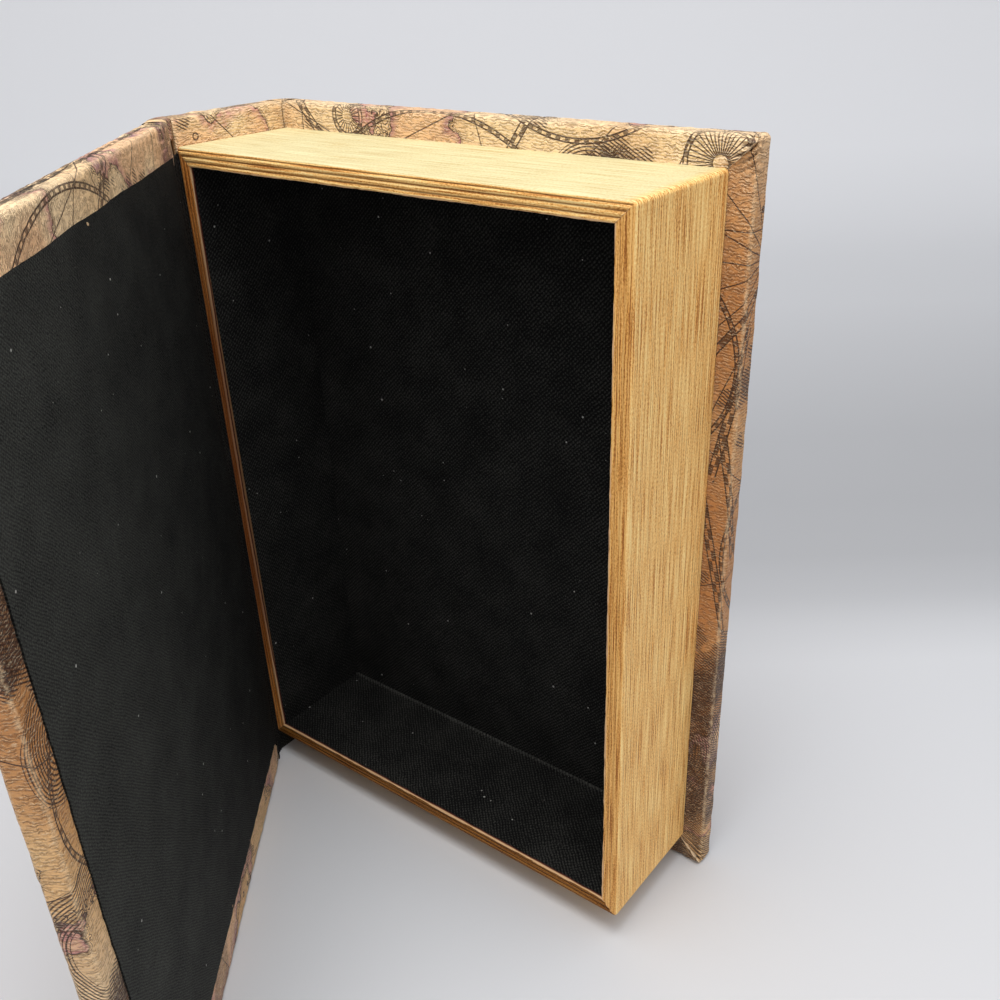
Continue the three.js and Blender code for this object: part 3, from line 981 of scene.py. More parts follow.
# %% Groups and colours
def new_group(name, inputs, outputs):
    """A node group whose inputs and outputs have names. An input's kind follows its value."""
    group = bpy.data.node_groups.new(name, "ShaderNodeTree")
    for title, value in inputs.items():
        kind = "NodeSocketVector" if isinstance(value, tuple) else "NodeSocketFloat"
        group.interface.new_socket(name=title, in_out="INPUT", socket_type=kind).default_value = value
    for title in outputs:
        kind = "NodeSocketColor" if title == "Color" else "NodeSocketFloat"
        group.interface.new_socket(name=title, in_out="OUTPUT", socket_type=kind)
    recipe = Recipe(group)
    entry = [Wire(recipe, socket) for socket in group.nodes.new("NodeGroupInput").outputs[:len(inputs)]]
    return group, recipe, entry, group.nodes.new("NodeGroupOutput").inputs


def tone(red, green, blue):
    """A colour as a linear value from its screen value of 0 to 255."""
    share = np.array([red, green, blue]) / 255
    linear = np.where(share <= 0.04045, share / 12.92, ((share + 0.055) / 1.055) ** 2.4)
    return (*linear.tolist(), 1.0)


# %% [markdown]
# The print is an old sea chart: a globe's grid inside a graduated ring, rays that cross the open
# sea, chequered scale bars, coasts with shore lines and tints, and patches of hatching. Each
# motif is a small group that answers with an ink mask for a place on the flat sheet. A picture
# would be simpler, but masks stay sharp at any size and belong to nobody.

# %% Chart motifs
ink_full = 0.15
ink_none = 0.29


def motif(drawn, **numbers):
    """A group round a function that draws. The function is handed the place, its offset from a
    centre and the named numbers, and answers with the ink."""
    group, recipe, entry, leave = new_group(
        drawn.__name__, {"Place": (0, 0, 0), "Centre": (0, 0, 0), **numbers}, ["Ink"])
    place, centre, *rest = entry
    recipe.feed(leave["Ink"], drawn(recipe, place, recipe.move("SUBTRACT", place, centre), *rest))
    return group


def line(recipe, distance, thin=1.0):
    """Ink where a distance is near zero."""
    return recipe.fade(distance, ink_full * thin, ink_none * thin)


def graduated_ring(recipe, place, offset, radius, width, block):
    """Two circles and a row of blocks between them: the distance from the centre gives the
    circles, and the angle times the radius, folded to a block's length, gives the blocks."""
    x, y = recipe.split(offset)
    beyond = recipe.length(offset) - radius
    step = recipe.fold(recipe.calc("ARCTAN2", y, x) * radius, block)
    between = recipe.fade(abs(beyond / width - 0.5), 0.48, 0.52)
    blocks = (step / block > 0.5) * between * 0.8
    return recipe.most(line(recipe, abs(beyond)), line(recipe, abs(beyond - width)), blocks)


def sea_rays(recipe, place, offset, count, limit):
    """Straight lines out of one point at equal angles: the angle folded to the nearest ray,
    times the distance, is the distance from that ray. They end at the limit."""
    x, y = recipe.split(offset)
    distance = recipe.length(offset)
    ray = recipe.fold(recipe.calc("ARCTAN2", y, x), math.pi / count) * distance
    ink_of_ray = recipe.fade(ray, ink_full * 0.7, ink_none * 0.8)
    return ink_of_ray * ((distance > 2.0) * (distance < limit))


def ring_swarm(recipe, place, offset, inner, outer):
    """Many close circles about one point, as engravers shade a sea: the distance folded to half
    the pitch of 1 mm, kept between an inner and an outer radius and bent a little by noise."""
    bent = recipe.noise(place, 0.05, 1.0) * 5.0
    distance = recipe.length(offset) + bent
    return line(recipe, recipe.fold(distance, 0.5)) * ((distance > inner) * (distance < outer))


def scale_bar(recipe, place, offset, angle, half_length, width, block):
    """A straight bar of two chequered rows: turned axes give the place along and across it, and
    the rows take turns along it."""
    x, y = recipe.split(offset)
    cosine, sine = recipe.calc("COSINE", angle), recipe.calc("SINE", angle)
    along, across = x * cosine + y * sine, y * cosine - x * sine
    from_edge = abs(across) - width * 0.5
    odd = recipe.fold(along, block) / block > 0.5
    filled = abs(odd - (across > 0.0)) * (from_edge < 0.0) * 0.85
    return recipe.most(line(recipe, abs(from_edge)), filled) * (abs(along) < half_length)


def globe_grid(recipe, place, offset, radius):
    """Lines of equal height and equal turn, 15 degrees apart, on a ball seen from the side.
    Height is the arc sine of y over the radius; turn is the arc sine of x over the width of the
    ball at that height."""
    half = math.radians(15) / 2
    x, y = recipe.split(offset)
    rise = y / radius
    latitude = recipe.calc("ARCSINE", rise)
    wide = recipe.calc("COSINE", latitude)
    run = x / radius / wide
    longitude = recipe.calc("ARCSINE", run)
    rows = recipe.fold(latitude, half) * wide
    columns = recipe.fold(longitude, half) * wide * recipe.calc("COSINE", longitude)
    lines = [line(recipe, folded * radius, 0.8) for folded in (rows, columns)]
    return recipe.most(*lines) * ((run * run < 0.9995) * (abs(rise) < 0.999))


ring_motif = motif(graduated_ring, Radius=60.0, Width=2.4, Block=3.0)
ray_motif = motif(sea_rays, Count=16.0, Reach=400.0)
swarm_motif = motif(ring_swarm, Inner=20.0, Outer=32.0)
bar_motif = motif(scale_bar, Angle=0.0, Half=40.0, Width=2.4, Block=3.4)
globe_motif = motif(globe_grid, Radius=60.0)
print("motifs", [group.name for group in (ring_motif, ray_motif, swarm_motif, bar_motif, globe_motif)])

# %% [markdown]
# The chart puts the motifs together over parchment. Coasts come from slow noise: the line where
# it crosses a level is the shore, a few close levels outside it are the shore lines, and land
# has its own tints of pink, mauve and peach. Its places are chosen so that lines, bars and
# tints cross the margins that the camera sees. Each row starts with a place on the flat sheet in
# millimetres, along it and up it. Its radius follows, and then what else the motif is told.

# %% Colours of the chart
parchment_lit = tone(255, 226, 182)
parchment_light = tone(242, 198, 140)
parchment_dark = tone(216, 160, 102)
parchment_shade = tone(186, 124, 70)
land_peach = tone(244, 198, 152)
land_pink = tone(198, 126, 130)
land_mauve = tone(150, 98, 122)
stain = tone(156, 102, 60)
dark_ground = tone(90, 66, 50)
ink = tone(54, 32, 24)

# %% Places on the chart
globes = (118, 128, 62), (-118, 112, 66)
roses = ((-188, 251, 9), (-62, 247, 5), (212, 196, 8), (-96, 300, 56), (-146, 209, 39), (124, 302, 56),
         (-236, 178, 29), (-178, 122, 28), (236, 128, 26))
rings = [(s, t, radius + 1, 2.4, 3.0) for s, t, radius in globes]
rings += [(s, t, radius * 1.78, 1.7, 4.2) for s, t, radius in globes]
rings += [(s, t, radius, 1.2, 1.5) for s, t, radius in roses]
rays = ((38, 214, 16, 400), (-42, 30, 20, 400), (196, 22, 16, 400), (-196, 206, 16, 400),
        (-188, 251, 40, 9), (-62, 247, 24, 5), (212, 196, 32, 8))
swarms = (219, 143, 5, 17), (214, 92, 14, 24), (-228, 46, 10, 34), (-150, 262, 9, 17), (150, -22, 10, 26)
bars = ((-207, 168, 1.36, 22), (-209, 118, 1.80, 24), (-205, 140, 1.78, 20), (-128, 247, 0.95, 12),
        (-44, 247, 2.3, 10), (96, 248, 0.8, 14), (208, 34, 1.8, 18), (0, 120, 1.3, 60))
# The pale spots are painted light: the parchment is paler on the head margins and the front cover's
# fore-edge margin, where they catch more light.
painted_light_fields = ((-60, 250, 26), (-130, 250, 26), (0, 252, 18), (-185, 248, 20), (70, 246, 30),
               (140, 246, 30), (206, 60, 24))
# The deep tan spots are painted shade on the fore-edge margins beside the tray.
shaded_tan_spots = (-208, 190, 26), (-208, 120, 30), (-208, 60, 24), (206, 160, 18)
washes = ((26, 250, 10), (-6, 252, 7), (-92, 246, 9), (104, 246, 12), (204, 96, 6), (-208, 20, 9),
          (70, 244, 8), (140, 248, 12), (50, 247, 6))
open_seas = ((-206, 226, 16), (-206, 196, 14), (-178, 250, 12), (-150, 250, 9), (-206, 160, 14),
             (-206, 120, 14), (210, 120, 10), (212, 160, 16))
# Most dark spots are hatched print. The three at the tail end, below about 5 mm up the sheet, are painted
# shade where the tray shadows the margins under it.
dark_print_and_shade_spots = ((-206, 78, 13), (-206, 56, 18), (-206, 24, 16), (-204, 4, 14), (-160, 252, 6),
               (212, 172, 15), (206, 205, 12), (-10, 60, 16), (-190, -12, 12), (212, 74, 8),
               (90, 40, 18), (-120, 200, 18), (24, -10, 9))


# %% Land, shore and dark fields
shore_level = 0.54


def tinted_land(recipe, place, coast, sea_colour):
    """Land beside the shore is pink or mauve and pales inland."""
    choice = recipe.noise(recipe.move("ADD", place, (-80.0, 50.0, 0.0)), 0.03, 1.0)
    border = recipe.blend(recipe.fade(choice, 0.44, 0.56), land_pink, land_mauve)
    inner = recipe.blend(recipe.fade(choice, 0.60, 0.50), land_peach, sea_colour)
    mottle = recipe.fade(recipe.noise(place, 0.35, 3.0, 0.65), 0.62, 0.36)
    near_shore = recipe.fade(coast, shore_level + 0.01, shore_level + 0.055) * (mottle * 0.55 + 0.35)
    return recipe.blend(recipe.fade(coast, shore_level + 0.003, shore_level - 0.003),
                        sea_colour, recipe.blend(near_shore, inner, border))


def shore_ink(recipe, coast):
    """The shore, and close lines outside it: levels of the same noise, folded to their pitch."""
    below = shore_level - coast
    levels = recipe.fade(recipe.fold(below, 0.0045), 0.0010, 0.0022)
    beside = recipe.fade(below, 0.020, 0.028) * (below > 0.0)
    return recipe.most(recipe.fade(abs(below), 0.0022, 0.0048), levels * beside)


def dark_ink(recipe, place, near_dark):
    """Slanting hatch and stipple where slow noise, helped at chosen spots, is high. Returns the
    ink and the shade of the ground under it."""
    field = recipe.noise(recipe.move("ADD", place, (150.0, -60.0, 0.0)), 0.032, 3.0, 0.6) + near_dark
    s, t = recipe.split(place)
    hatch = recipe.fade(recipe.fold(s * 0.55 + t, 0.5), 0.14, 0.30) * recipe.fade(field, 0.60, 0.585)
    cross = recipe.fade(recipe.fold(s * 1.1 - t, 0.6), 0.10, 0.26) * recipe.fade(field, 0.66, 0.645)
    stipple = recipe.fade(recipe.noise(place, 1.3, 2.0, 0.7), 0.54, 0.49) * recipe.fade(field, 0.70, 0.67)
    return recipe.most(hatch, cross, stipple), recipe.fade(field, 0.76, 0.58) * 0.72


def town_ink(recipe, place):
    """A small circle at the middle of some of the cells that divide the sheet."""
    town_scale = 0.062
    distance, chance, _ = recipe.cells(place, town_scale)
    return (chance > 0.35) * recipe.fade(abs(distance / town_scale - 0.95), 0.14, 0.30)


# %% The whole chart
def old_chart():
    """The printed colour of the covering at a place on the flat sheet in millimetres."""
    group, recipe, (place,), leave = new_group("old_chart", {"Place": (0, 0, 0)}, ["Color"])

    def near(spots, most):
        """`most` at the middle of the nearest of some spots, falling to 0 at twice their radius."""
        return recipe.most(*[
            recipe.fade(recipe.length(recipe.move("SUBTRACT", place, (s, t, 0))), radius * 0.4, radius * 2)
            for s, t, radius in spots]) * most

    slow = recipe.fade(recipe.noise(place, 0.018, 3.0, 0.55), 0.36, 0.62)
    colour = recipe.blend(slow, parchment_light, parchment_dark)
    # Painted light and shade: paler parchment at the lit spots and deeper tan at the shaded ones.
    colour = recipe.blend(near(painted_light_fields, 0.85), colour, parchment_lit)
    colour = recipe.blend(near(shaded_tan_spots, 0.8), colour, parchment_shade)
    coast = recipe.noise(recipe.move("ADD", place, (37.0, 11.0, 0.0)), 0.021, 7.0, 0.52, 0.25)
    coast = coast + near(washes, 0.10) - near(open_seas, 0.10)
    colour = tinted_land(recipe, place, coast, colour)
    blotch = recipe.fade(recipe.noise(place, 0.11, 4.0, 0.6), 0.36, 0.50)
    colour = recipe.blend(blotch * 0.18, colour, stain)
    hatching, shade = dark_ink(recipe, place, near(dark_print_and_shade_spots, 0.19))
    colour = recipe.blend(shade, colour, dark_ground)
    drawn = [shore_ink(recipe, coast), hatching, town_ink(recipe, place)]
    for group_used, rows, names in ((globe_motif, globes, ["Radius"]),
                                    (ring_motif, rings, ["Radius", "Width", "Block"]),
                                    (ray_motif, rays, ["Count", "Reach"]),
                                    (swarm_motif, swarms, ["Inner", "Outer"]),
                                    (bar_motif, bars, ["Angle", "Half"])):
        drawn += [recipe.use(group_used, {"Place": place, "Centre": (s, t, 0), **dict(zip(names, rest))})
                  for s, t, *rest in rows]
    worn = recipe.fade(recipe.noise(place, 0.9, 3.0, 0.7), 0.30, 0.42)
    recipe.feed(leave["Color"], recipe.blend(recipe.most(*drawn) * (0.96 - worn * 0.35), colour, ink))
    return group


chart = old_chart()
print("chart has", len(chart.nodes), "nodes")

# %% [markdown]
# Two effects are shared. Leather grain is wavy creases that break off, with fine pebbles over.
# Woven cloth is fine ribs crossed by threads, with a few specks of lint.

# %% Grain and weave
def leather_grain():
    """Creases are ripples across the sheet: the place up the sheet is moved by noise and folded
    to the pitch, and a slower noise breaks the lines up. On the front cover's head margin they
    run the other way, across the fold, as the sheet is pressed together there."""
    group, recipe, (place, margin, pitch), leave = new_group(
        "leather_grain", {"Place": (0, 0, 0), "Height margin": 239.0, "Pitch": 0.9}, ["Height", "Valley"])
    s, t = recipe.split(place)
    pressed = recipe.fade(s, 44.0, 30.0) * recipe.fade(t, margin + 1.5, margin)
    way = recipe.node("Mix", {0: pressed, 2: t, 3: s}, 0) + recipe.noise(place, 0.40, 3.0, 0.62) * 3.2
    half = pitch * 0.5
    fold = recipe.fold(way, half) / half
    stretched = recipe.node("Mapping", {0: place, 3: (0.55, 1.0, 1.0)}, 0)
    whole = recipe.fade(recipe.noise(stretched, 0.80, 2.0), 0.54, 0.36)
    ripple_height = recipe.node("Mix", {0: whole, 2: 0.6, 3: fold}, 0)
    recipe.feed(leave["Height"], ripple_height * 0.65 + recipe.noise(place, 2.2, 2.0, 0.6) * 0.35)
    recipe.feed(leave["Valley"], recipe.fade(fold, 0.10, 0.60) * whole)
    return group


def woven_cloth():
    """Twill: ribs are a folded line across the diagonal and threads a folded line along it, moved
    a little by noise, and a knot is high where both are. Lint is the middle of some small cells,
    most of them tiny, as their size is the fourth power of a chance."""
    group, recipe, (place, pitch), leave = new_group(
        "woven_cloth", {"Place": (0, 0, 0), "Pitch": 0.5}, ["Height", "Speck", "Dust"])
    s, t = recipe.split(place)
    drift = recipe.noise(place, 0.12, 3.0, 0.6) * 1.6 + recipe.noise(place, 1.0, 2.0, 0.6) * 0.7
    ribs, threads = (recipe.fold(way + drift, pitch) / pitch for way in ((t - s) * 0.707, (t + s) * 0.60))
    fuzz = recipe.noise(place, 1.6, 4.0, 0.8) - 0.5
    distance, chance, choice = recipe.cells(place, 0.34)
    size = recipe.calc("POWER", chance, 4.0) * 0.13
    recipe.feed(leave["Height"], ribs * 0.22 + ribs * threads * 0.45 + fuzz * 2.0)
    recipe.feed(leave["Speck"], (choice > 0.58) * (distance < size))
    recipe.feed(leave["Dust"], recipe.noise(place, 0.06, 3.0, 0.6))
    return group


grain_effect = leather_grain()
weave_effect = woven_cloth()
print("effects", grain_effect.name, "and", weave_effect.name)

# %% [markdown]
# Now the finishes. Each has its own shader, and everything that changes over the surface is
# wired to it: colour, roughness and a bump. Where a sheet is cut, its pale core shows.

# %% A new finish
def new_finish(name, roughness, specular):
    """An empty material with its shader and a recipe to fill it."""
    material = bpy.data.materials.new(name)
    material.use_nodes = True
    shader = material.node_tree.nodes["Principled BSDF"]
    shader.inputs["Roughness"].default_value = roughness
    shader.inputs["Specular IOR Level"].default_value = specular
    return material, Recipe(material.node_tree), shader.inputs


# %% Printed leather
core_pale = tone(222, 196, 160)
crease_shade_brown = tone(104, 60, 32)
pebble_highlight_pale = tone(255, 232, 194)
rubbed_and_highlight_pale = tone(250, 218, 174)
fold_crease_shade = tone(60, 36, 24)


def printed_leather():
    """The covering: chart; creases of the grain and of the gathers painted darker as shade;
    pebbles painted pale as highlights; fold ridges pale with wear and painted highlight; pale raw
    edges; and a soft sheen.
    """
    material, recipe, inputs = new_finish("printed_leather", 0.5, 0.35)
    place = recipe.sheet()
    colour = recipe.use(chart, {"Place": place})
    grain, valley = recipe.use(grain_effect, {"Place": place}, "Height", "Valley")
    worn = recipe.mark("wear_and_painted_light")
    unbroken = recipe.fade(recipe.noise(place, 0.45, 3.0, 0.6), 0.60, 0.38)
    # Painted shade darkens the grain's creases and the gathers' creases, painted highlight pales the
    # pebbles, and fold ridges are paled as rubbed wear and painted highlight.
    for share, laid in ((valley * 0.46, crease_shade_brown),
                        (recipe.fade(grain, 0.80, 0.62) * 0.40, pebble_highlight_pale),
                        (recipe.fade(worn, 1.0, 0.25) * unbroken * 0.55, rubbed_and_highlight_pale),
                        (recipe.fade(worn, -0.9, -0.1) * 0.90, fold_crease_shade),
                        (recipe.fade(recipe.mark("raw_edge"), 0.75, 0.2), core_pale)):
        colour = recipe.blend(share, colour, laid)
    recipe.feed(inputs["Base Color"], colour)
    recipe.feed(inputs["Roughness"], valley * 0.25 + 0.42)
    recipe.feed(inputs["Normal"], recipe.bump(grain, 0.60 * mm))
    return material


# %% Black cloth
lint_pale = tone(205, 203, 196)


def black_cloth(name, deep, worn, pitch):
    """The lining: near black, lighter on the ribs and where dust has settled, and lighter where the
    mesh marks painted light: towards the cover's fore-edge, so that it is darker near the fold as
    painted shade, and on the round at the tail wall as a painted highlight.
    """
    material, recipe, inputs = new_finish(name, 0.8, 0.14)
    weave, speck, dust = recipe.use(weave_effect, {"Place": recipe.sheet(), "Pitch": pitch},
                                    "Height", "Speck", "Dust")
    # The mark adds painted light and shade: lighter towards the cover's fore-edge and on the round at the
    # tail wall.
    lifted = weave * 0.75 + dust * 0.4 + recipe.mark("wear_and_painted_light") * 0.4
    colour = recipe.blend(recipe.fade(lifted, 1.06, 0.30), deep, worn)
    recipe.feed(inputs["Base Color"], recipe.blend(speck * 0.75, colour, lint_pale))
    recipe.feed(inputs["Normal"], recipe.bump(weave, 0.30 * mm, 0.9))
    return material


# %% Gilt paper
raw_pale = tone(224, 182, 136)
fold_shade_red = tone(84, 34, 24)
tone_places = (0.40, 0.48, 0.58)


def page_paper(name, face_tones, rim_tones, face_end, groove, groove_share, shaded_middle=None):
    """The gilt paper: fine lines that are long along the pages and close across them, with slow
    changes of tone, short flecks, pale raw edges and, below them, the fold down into the
    compartment painted dark red as shade. The grooves of the rim are painted darker as shade. The
    face has its own tones, and takes the rim's at its fore-edge end; they differ by painted light
    and shade. A sheet with a shaded middle is painted darker along its middle, as shade, but for
    its two ends."""
    material, recipe, inputs = new_finish(name, 0.5, 0.15)
    s, t = recipe.split(recipe.sheet())
    across = t + recipe.noise(recipe.join(s, t), 0.30, 2.0, 0.6) * 0.45
    pages = recipe.noise(recipe.join(s * 0.016, across), 2.5, 1.5, 0.6)
    broad = recipe.noise(recipe.join(s * 0.012, across), 0.45, 2.0, 0.6)
    grit = recipe.noise(recipe.join(s * 0.55, t), 2.4, 2.0, 0.7)
    mixed = pages * 0.60 + broad * 0.06 + grit * 0.34
    turned = recipe.most(t > 0.0, recipe.fade(s, face_end, face_end - 4.0))
    face, rim = (recipe.ramp(mixed, [(at, tone(*colour)) for at, colour in zip(tone_places, tones)])
                 for tones in (face_tones, rim_tones))
    colour = recipe.blend(turned, face, rim)
    # Painted shade: the grooves between the rim's ridges are darkened.
    in_groove = recipe.fold(t - first_groove / mm, ridge_width / mm / 2)
    shade = recipe.fade(in_groove, 0.02, 0.38) * (t > 0.3)
    colour = recipe.blend(shade * groove_share, colour, groove)
    raw = recipe.mark("raw_edge")
    colour = recipe.blend(recipe.fade(raw, 0.60, 0.35), colour, raw_pale)
    # Painted shade: the fold down into the compartment is dark red.
    colour = recipe.blend(recipe.fade(raw, 0.90, 0.78), colour, fold_shade_red)
    # Painted shade: the middle of the sheet is darkened, its two ends are not.
    if shaded_middle:
        half = tray_size[2] / mm / 2
        colour = recipe.blend(recipe.fade(abs(s - half), half - 60, half - 5), colour, shaded_middle,
                              blend_type="MULTIPLY")
    recipe.feed(inputs["Base Color"], colour)
    recipe.feed(inputs["Roughness"], pages * 0.2 + 0.42)
    recipe.feed(inputs["Normal"], recipe.bump(mixed, 0.2 * mm, 0.9))
    return material


# %% Board under the sheets
board_brown = tone(128, 92, 60)
board_tan = tone(176, 136, 94)


def fibre_board():
    """Raw board under the sheets: tan, with the short fibres of pressed wood."""
    material, recipe, inputs = new_finish("fibre_board", 0.9, 0.2)
    place = recipe.node("TexCoord", {}, "Object")
    fibres = recipe.noise(recipe.move("MULTIPLY", place, (1.0, 1.0, 0.3)), 900.0, 4.0, 0.7)
    recipe.feed(inputs["Base Color"], recipe.blend(fibres, board_brown, board_tan))
    recipe.feed(inputs["Normal"], recipe.bump(fibres, 0.1 * mm))
    return material


# %% The finishes of this book
leather = printed_leather()
# One cloth in two copies: the cover's ground is a little lighter, as painted light on the open cover, and
# the tray's darker, as painted shade in the compartment.
cloth = black_cloth("tray_cloth", tone(5, 5, 5), tone(88, 87, 82), 0.50)
cover_finish = black_cloth("cover_cloth_finish", tone(8, 8, 8), tone(82, 83, 78), 0.36)
# The paper is one gilt colour. The head face's tones are paler as painted light, and the rims of the
# fore-edge, the spine side and most of all the tail are darker as painted shade.
gilt = (172, 108, 48), (238, 180, 102), (255, 222, 152)
shaded_rim_gilt = (152, 92, 38), (222, 158, 82), (248, 198, 122)
deep_shade_tail_gilt = (78, 42, 14), (127, 78, 30), (166, 113, 52)
lit_cream = (186, 160, 108), (206, 192, 144), (217, 207, 163)
shaded_amber = (146, 76, 32), (220, 134, 56), (250, 180, 104)
beyond_sheet = 1e4
tray_length = tray_size[0] / mm
tail_paper_finish = page_paper("tail_paper", gilt, deep_shade_tail_gilt, beyond_sheet, tone(70, 38, 16), 0.6)
fore_paper = page_paper("fore_paper", gilt, shaded_rim_gilt, beyond_sheet, tone(150, 96, 46), 0.3)
top_paper = page_paper("top_paper", lit_cream, gilt, tray_length, tone(120, 70, 30), 0.75)
hinge_paper = page_paper("hinge_paper", gilt, shaded_amber, beyond_sheet, tone(60, 28, 12), 0.6,
                         tone(170, 152, 150))
board_finish = fibre_board()
print("finishes", [material.name for material in (leather, cloth, cover_finish, fore_paper, board_finish)])

# %% [markdown]
# Each new piece is now thickened where it is a bare sheet and given its finish, the imported node
# that it stands for is hidden, and it is parented to the body that carries that node. The joint
# bends between the tray and the front cover; its pieces are given their finish and their shape is
# baked in place, on neither body.

# %% Dressing the pieces
bodies = frame["record"]["behaviour"]["bodies"]
paper_thickness = 0.42 * mm


def thicken(piece, thickness):
    """Gives a bare sheet its thickness on the inner side."""
    solidify = piece.modifiers.new("thickness", "SOLIDIFY")
    solidify.thickness = thickness
    solidify.offset = -1
    solidify.use_rim = True


def dress(piece, finish, node):
    """Gives a piece its finish, hides the node that it replaces and hands back the body that the node
    rides on.
    """
    piece.data.materials.append(finish)
    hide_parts(node)
    return next(name for name, members in bodies.items() if node in members)


def dress_and_ride(piece, finish, node):
    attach(piece, dress(piece, finish, node))


# %% Pieces on their nodes and bodies
for piece, node in ((back_covering, "back_printed_sheet"), (spine_covering, "spine_printed_sheet"),
                    (front_covering, "front_printed_sheet"), (back_joint, "back_joint_sheet")):
    dress_and_ride(piece, leather, node)
dress_and_ride(front_cloth, cover_finish, "front_cover_lining")
for node, piece in panels.items():
    dress_and_ride(piece, cloth, node)
for piece, wall, paper in ((head_paper, "head", top_paper), (tail_paper, "tail", tail_paper_finish),
                           (fore_edge_paper, "fore_edge", fore_paper),
                           (spine_side_paper, "spine_side", hinge_paper)):
    thicken(piece, paper_thickness)
    dress_and_ride(piece, paper, wall + "_page_sheet")

# %% The joint, given its finish and baked in place
for piece, finish, node in ((front_joint, leather, "front_joint_sheet"),
                            (joint_lining, cloth, "front_joint_lining")):
    dress(piece, finish, node)
    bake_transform(piece)

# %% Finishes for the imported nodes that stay
for node in frame["nodes"].values():
    node.data.materials.clear()
    node.data.materials.append(board_finish)
print("every packed node has a finish")

# %% [markdown]
# The book stands on a pale sweep: a floor that bends up behind it into a backdrop. The sweep's
# own tone changes along it, as the light does in a small photo tent.

# %% Floor and backdrop
camera_azimuth = math.radians(38.14)
view_along = np.array([-math.sin(camera_azimuth), math.cos(camera_azimuth), 0.0])
view_across = np.array([math.cos(camera_azimuth), math.sin(camera_azimuth), 0.0])
sweep_near = -1.6
sweep_far = 0.75
sweep_radius = 0.5
sweep_top = 2.2
sweep_half_width = 3.0


def sweep():
    """A floor, a quarter turn and a wall, as one profile carried sideways. The second number of
    its flat place is the distance along the profile."""
    floor = np.linspace(sweep_near, sweep_far, 20)[:-1]
    turn = np.linspace(0, math.pi / 2, 24)
    wall = np.linspace(sweep_radius, sweep_top, 9)[1:]
    forward = np.concatenate([floor, sweep_far + sweep_radius * np.sin(turn),
                              sweep_far + sweep_radius + 0 * wall])
    rise = np.concatenate([0 * floor, sweep_radius * (1 - np.cos(turn)), wall])
    distance = np.concatenate([[0], np.cumsum(np.hypot(np.diff(forward), np.diff(rise)))]) + sweep_near
    sideways = np.linspace(-sweep_half_width, sweep_half_width, 7)
    points = (forward[:, None, None] * view_along + sideways[None, :, None] * view_across
              + rise[:, None, None] * upwards)
    piece = skin("studio_sweep", [patch(points, sideways[None, :], distance[:, None])])
    return piece


def sweep_finish():
    """Pale grey whose tone follows the distance along the sweep in millimetres. Far from the
    lamps a faint glow that only the camera sees keeps the backdrop pale."""
    material, recipe, inputs = new_finish("studio_grey", 0.6, 0.2)
    _, distance = recipe.split(recipe.sheet())
    tones = ((-300, 206), (60, 209), (88, 199), (112, 186), (150, 178), (210, 178), (350, 189),
             (575, 206), (900, 208), (1500, 212))
    first, last = tones[0][0], tones[-1][0]
    stops = [((place - first) / (last - first), tone(grey, grey + 1, grey + 4)) for place, grey in tones]
    for end in (0, -1):
        grey = tones[end][1]
        stops[end] = (stops[end][0], tone(grey, grey, grey + 2))
    along = recipe.node("MapRange", {0: distance, 1: first, 2: last}, 0)
    recipe.feed(inputs["Base Color"], recipe.ramp(along, stops))
    seen = recipe.node("LightPath", {}, "Is Camera Ray")
    inputs["Emission Color"].default_value = tone(250, 251, 255)
    recipe.feed(inputs["Emission Strength"], seen * (recipe.fade(distance, 1000.0, 300.0) * 0.27))
    return material


studio = sweep()
studio.data.materials.append(sweep_finish())
print("sweep has", len(studio.data.polygons), "faces")

# %% [markdown]
# Light is plain and soft and comes mostly from above, which makes the head edge the brightest
# face. The lamp over the book is near it, so the light falls off down the book as it does in
# the photograph. Weak lamps behind, at the side and in front and a pale world fill the shadows.

# %% Lamps and world
book_middle = (0.0, -0.05, 0.12)


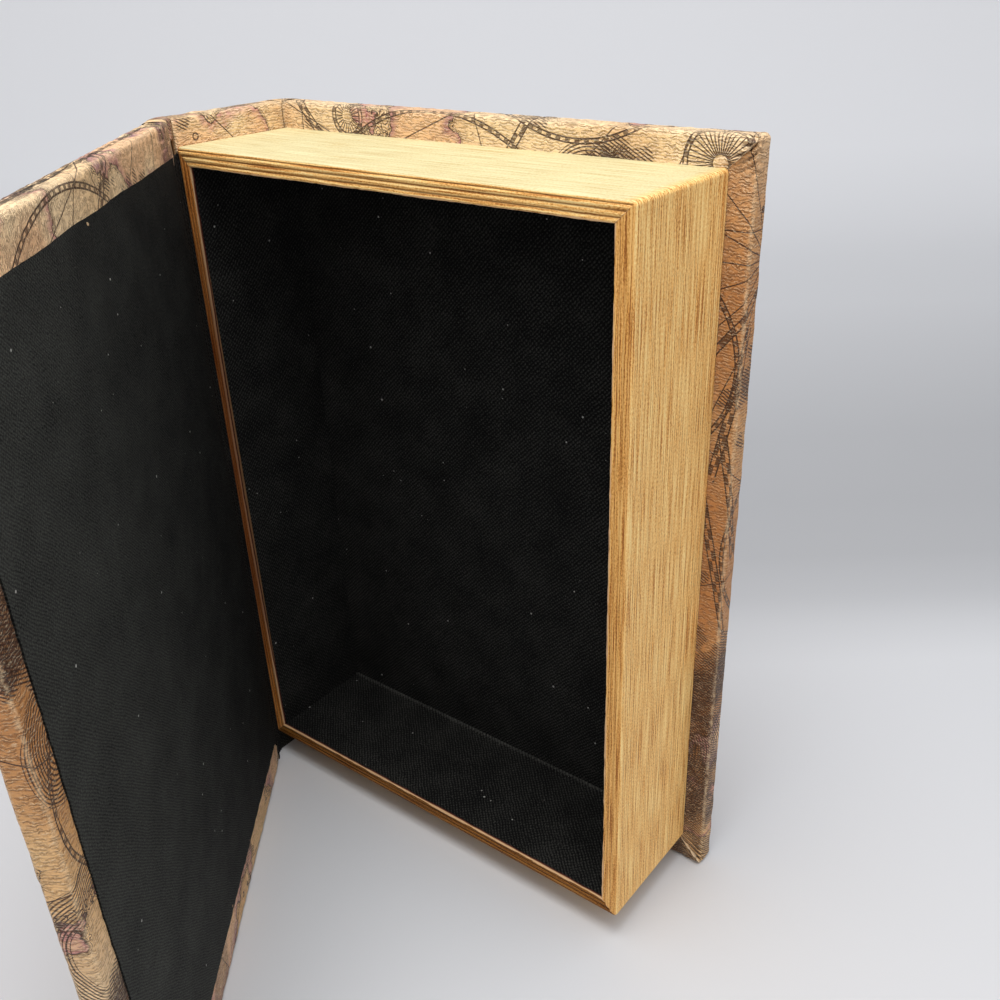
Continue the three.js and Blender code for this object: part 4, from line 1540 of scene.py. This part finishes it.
def area_lamp(name, place, size, power):
    """A square lamp at a place, turned so that it shines at the middle of the book."""
    light = bpy.data.lights.new(name, "AREA")
    light.shape = "SQUARE"
    light.size = size
    light.energy = power
    lamp = bpy.data.objects.new(name, light)
    bpy.context.scene.collection.objects.link(lamp)
    lamp.location = place
    lamp.rotation_euler = (Vector(book_middle) - Vector(place)).to_track_quat("-Z", "Y").to_euler()


for name, place, size, power in (("lamp_above", (0.05, -0.15, 0.80), 0.4, 3.1),
                                 ("lamp_over_cover", (-0.05, -0.38, 0.70), 0.5, 0.9),
                                 ("lamp_behind", (0.30, 0.05, 1.25), 1.0, 2.7),
                                 ("lamp_right", (0.75, -0.10, 0.95), 0.9, 1.8),
                                 ("lamp_front", (0.35, -1.0, 0.75), 0.9, 1.4)):
    area_lamp(name, place, size, power)
print("lamps", len(bpy.data.lights))
world = bpy.data.worlds.new("pale_room")
bpy.context.scene.world = world
world.use_nodes = True
room = Recipe(world.node_tree)
background = world.node_tree.nodes["Background"].inputs
background["Color"].default_value = tone(238, 239, 242)
seen_directly = room.most(*room.node("LightPath", {}, "Is Camera Ray", "Is Glossy Ray",
                                     "Is Transmission Ray"))
room.feed(background["Strength"], seen_directly * 0.15 + 0.54)

# %% [markdown]
# The camera's place, turn and lens were solved from the tray's corners and the covers' edges in
# the photograph. A slight roll and shift keep the picture's framing.

# %% Camera
camera_place = Vector((0.19312, -0.24469, 0.27596))
camera_elevation = math.radians(28.90)
camera_roll = math.radians(-1.94)
camera_data = bpy.data.cameras.new("camera")
camera_data.sensor_width = 36.0
camera_data.lens = 37.70
camera_data.shift_x = -0.0079
camera_data.shift_y = 0.0302
camera_data.clip_start = 0.01
camera = bpy.data.objects.new("camera", camera_data)
bpy.context.scene.collection.objects.link(camera)
turned = (Matrix.Rotation(camera_azimuth, 4, "Z")
          @ Matrix.Rotation(math.pi / 2 - camera_elevation, 4, "X")
          @ Matrix.Rotation(camera_roll, 4, "Z"))
camera.matrix_world = Matrix.Translation(camera_place) @ turned
bpy.context.scene.camera = camera
bpy.context.scene.view_settings.view_transform = "Standard"
print("camera looks down by", round(math.degrees(camera_elevation), 1), "degrees")
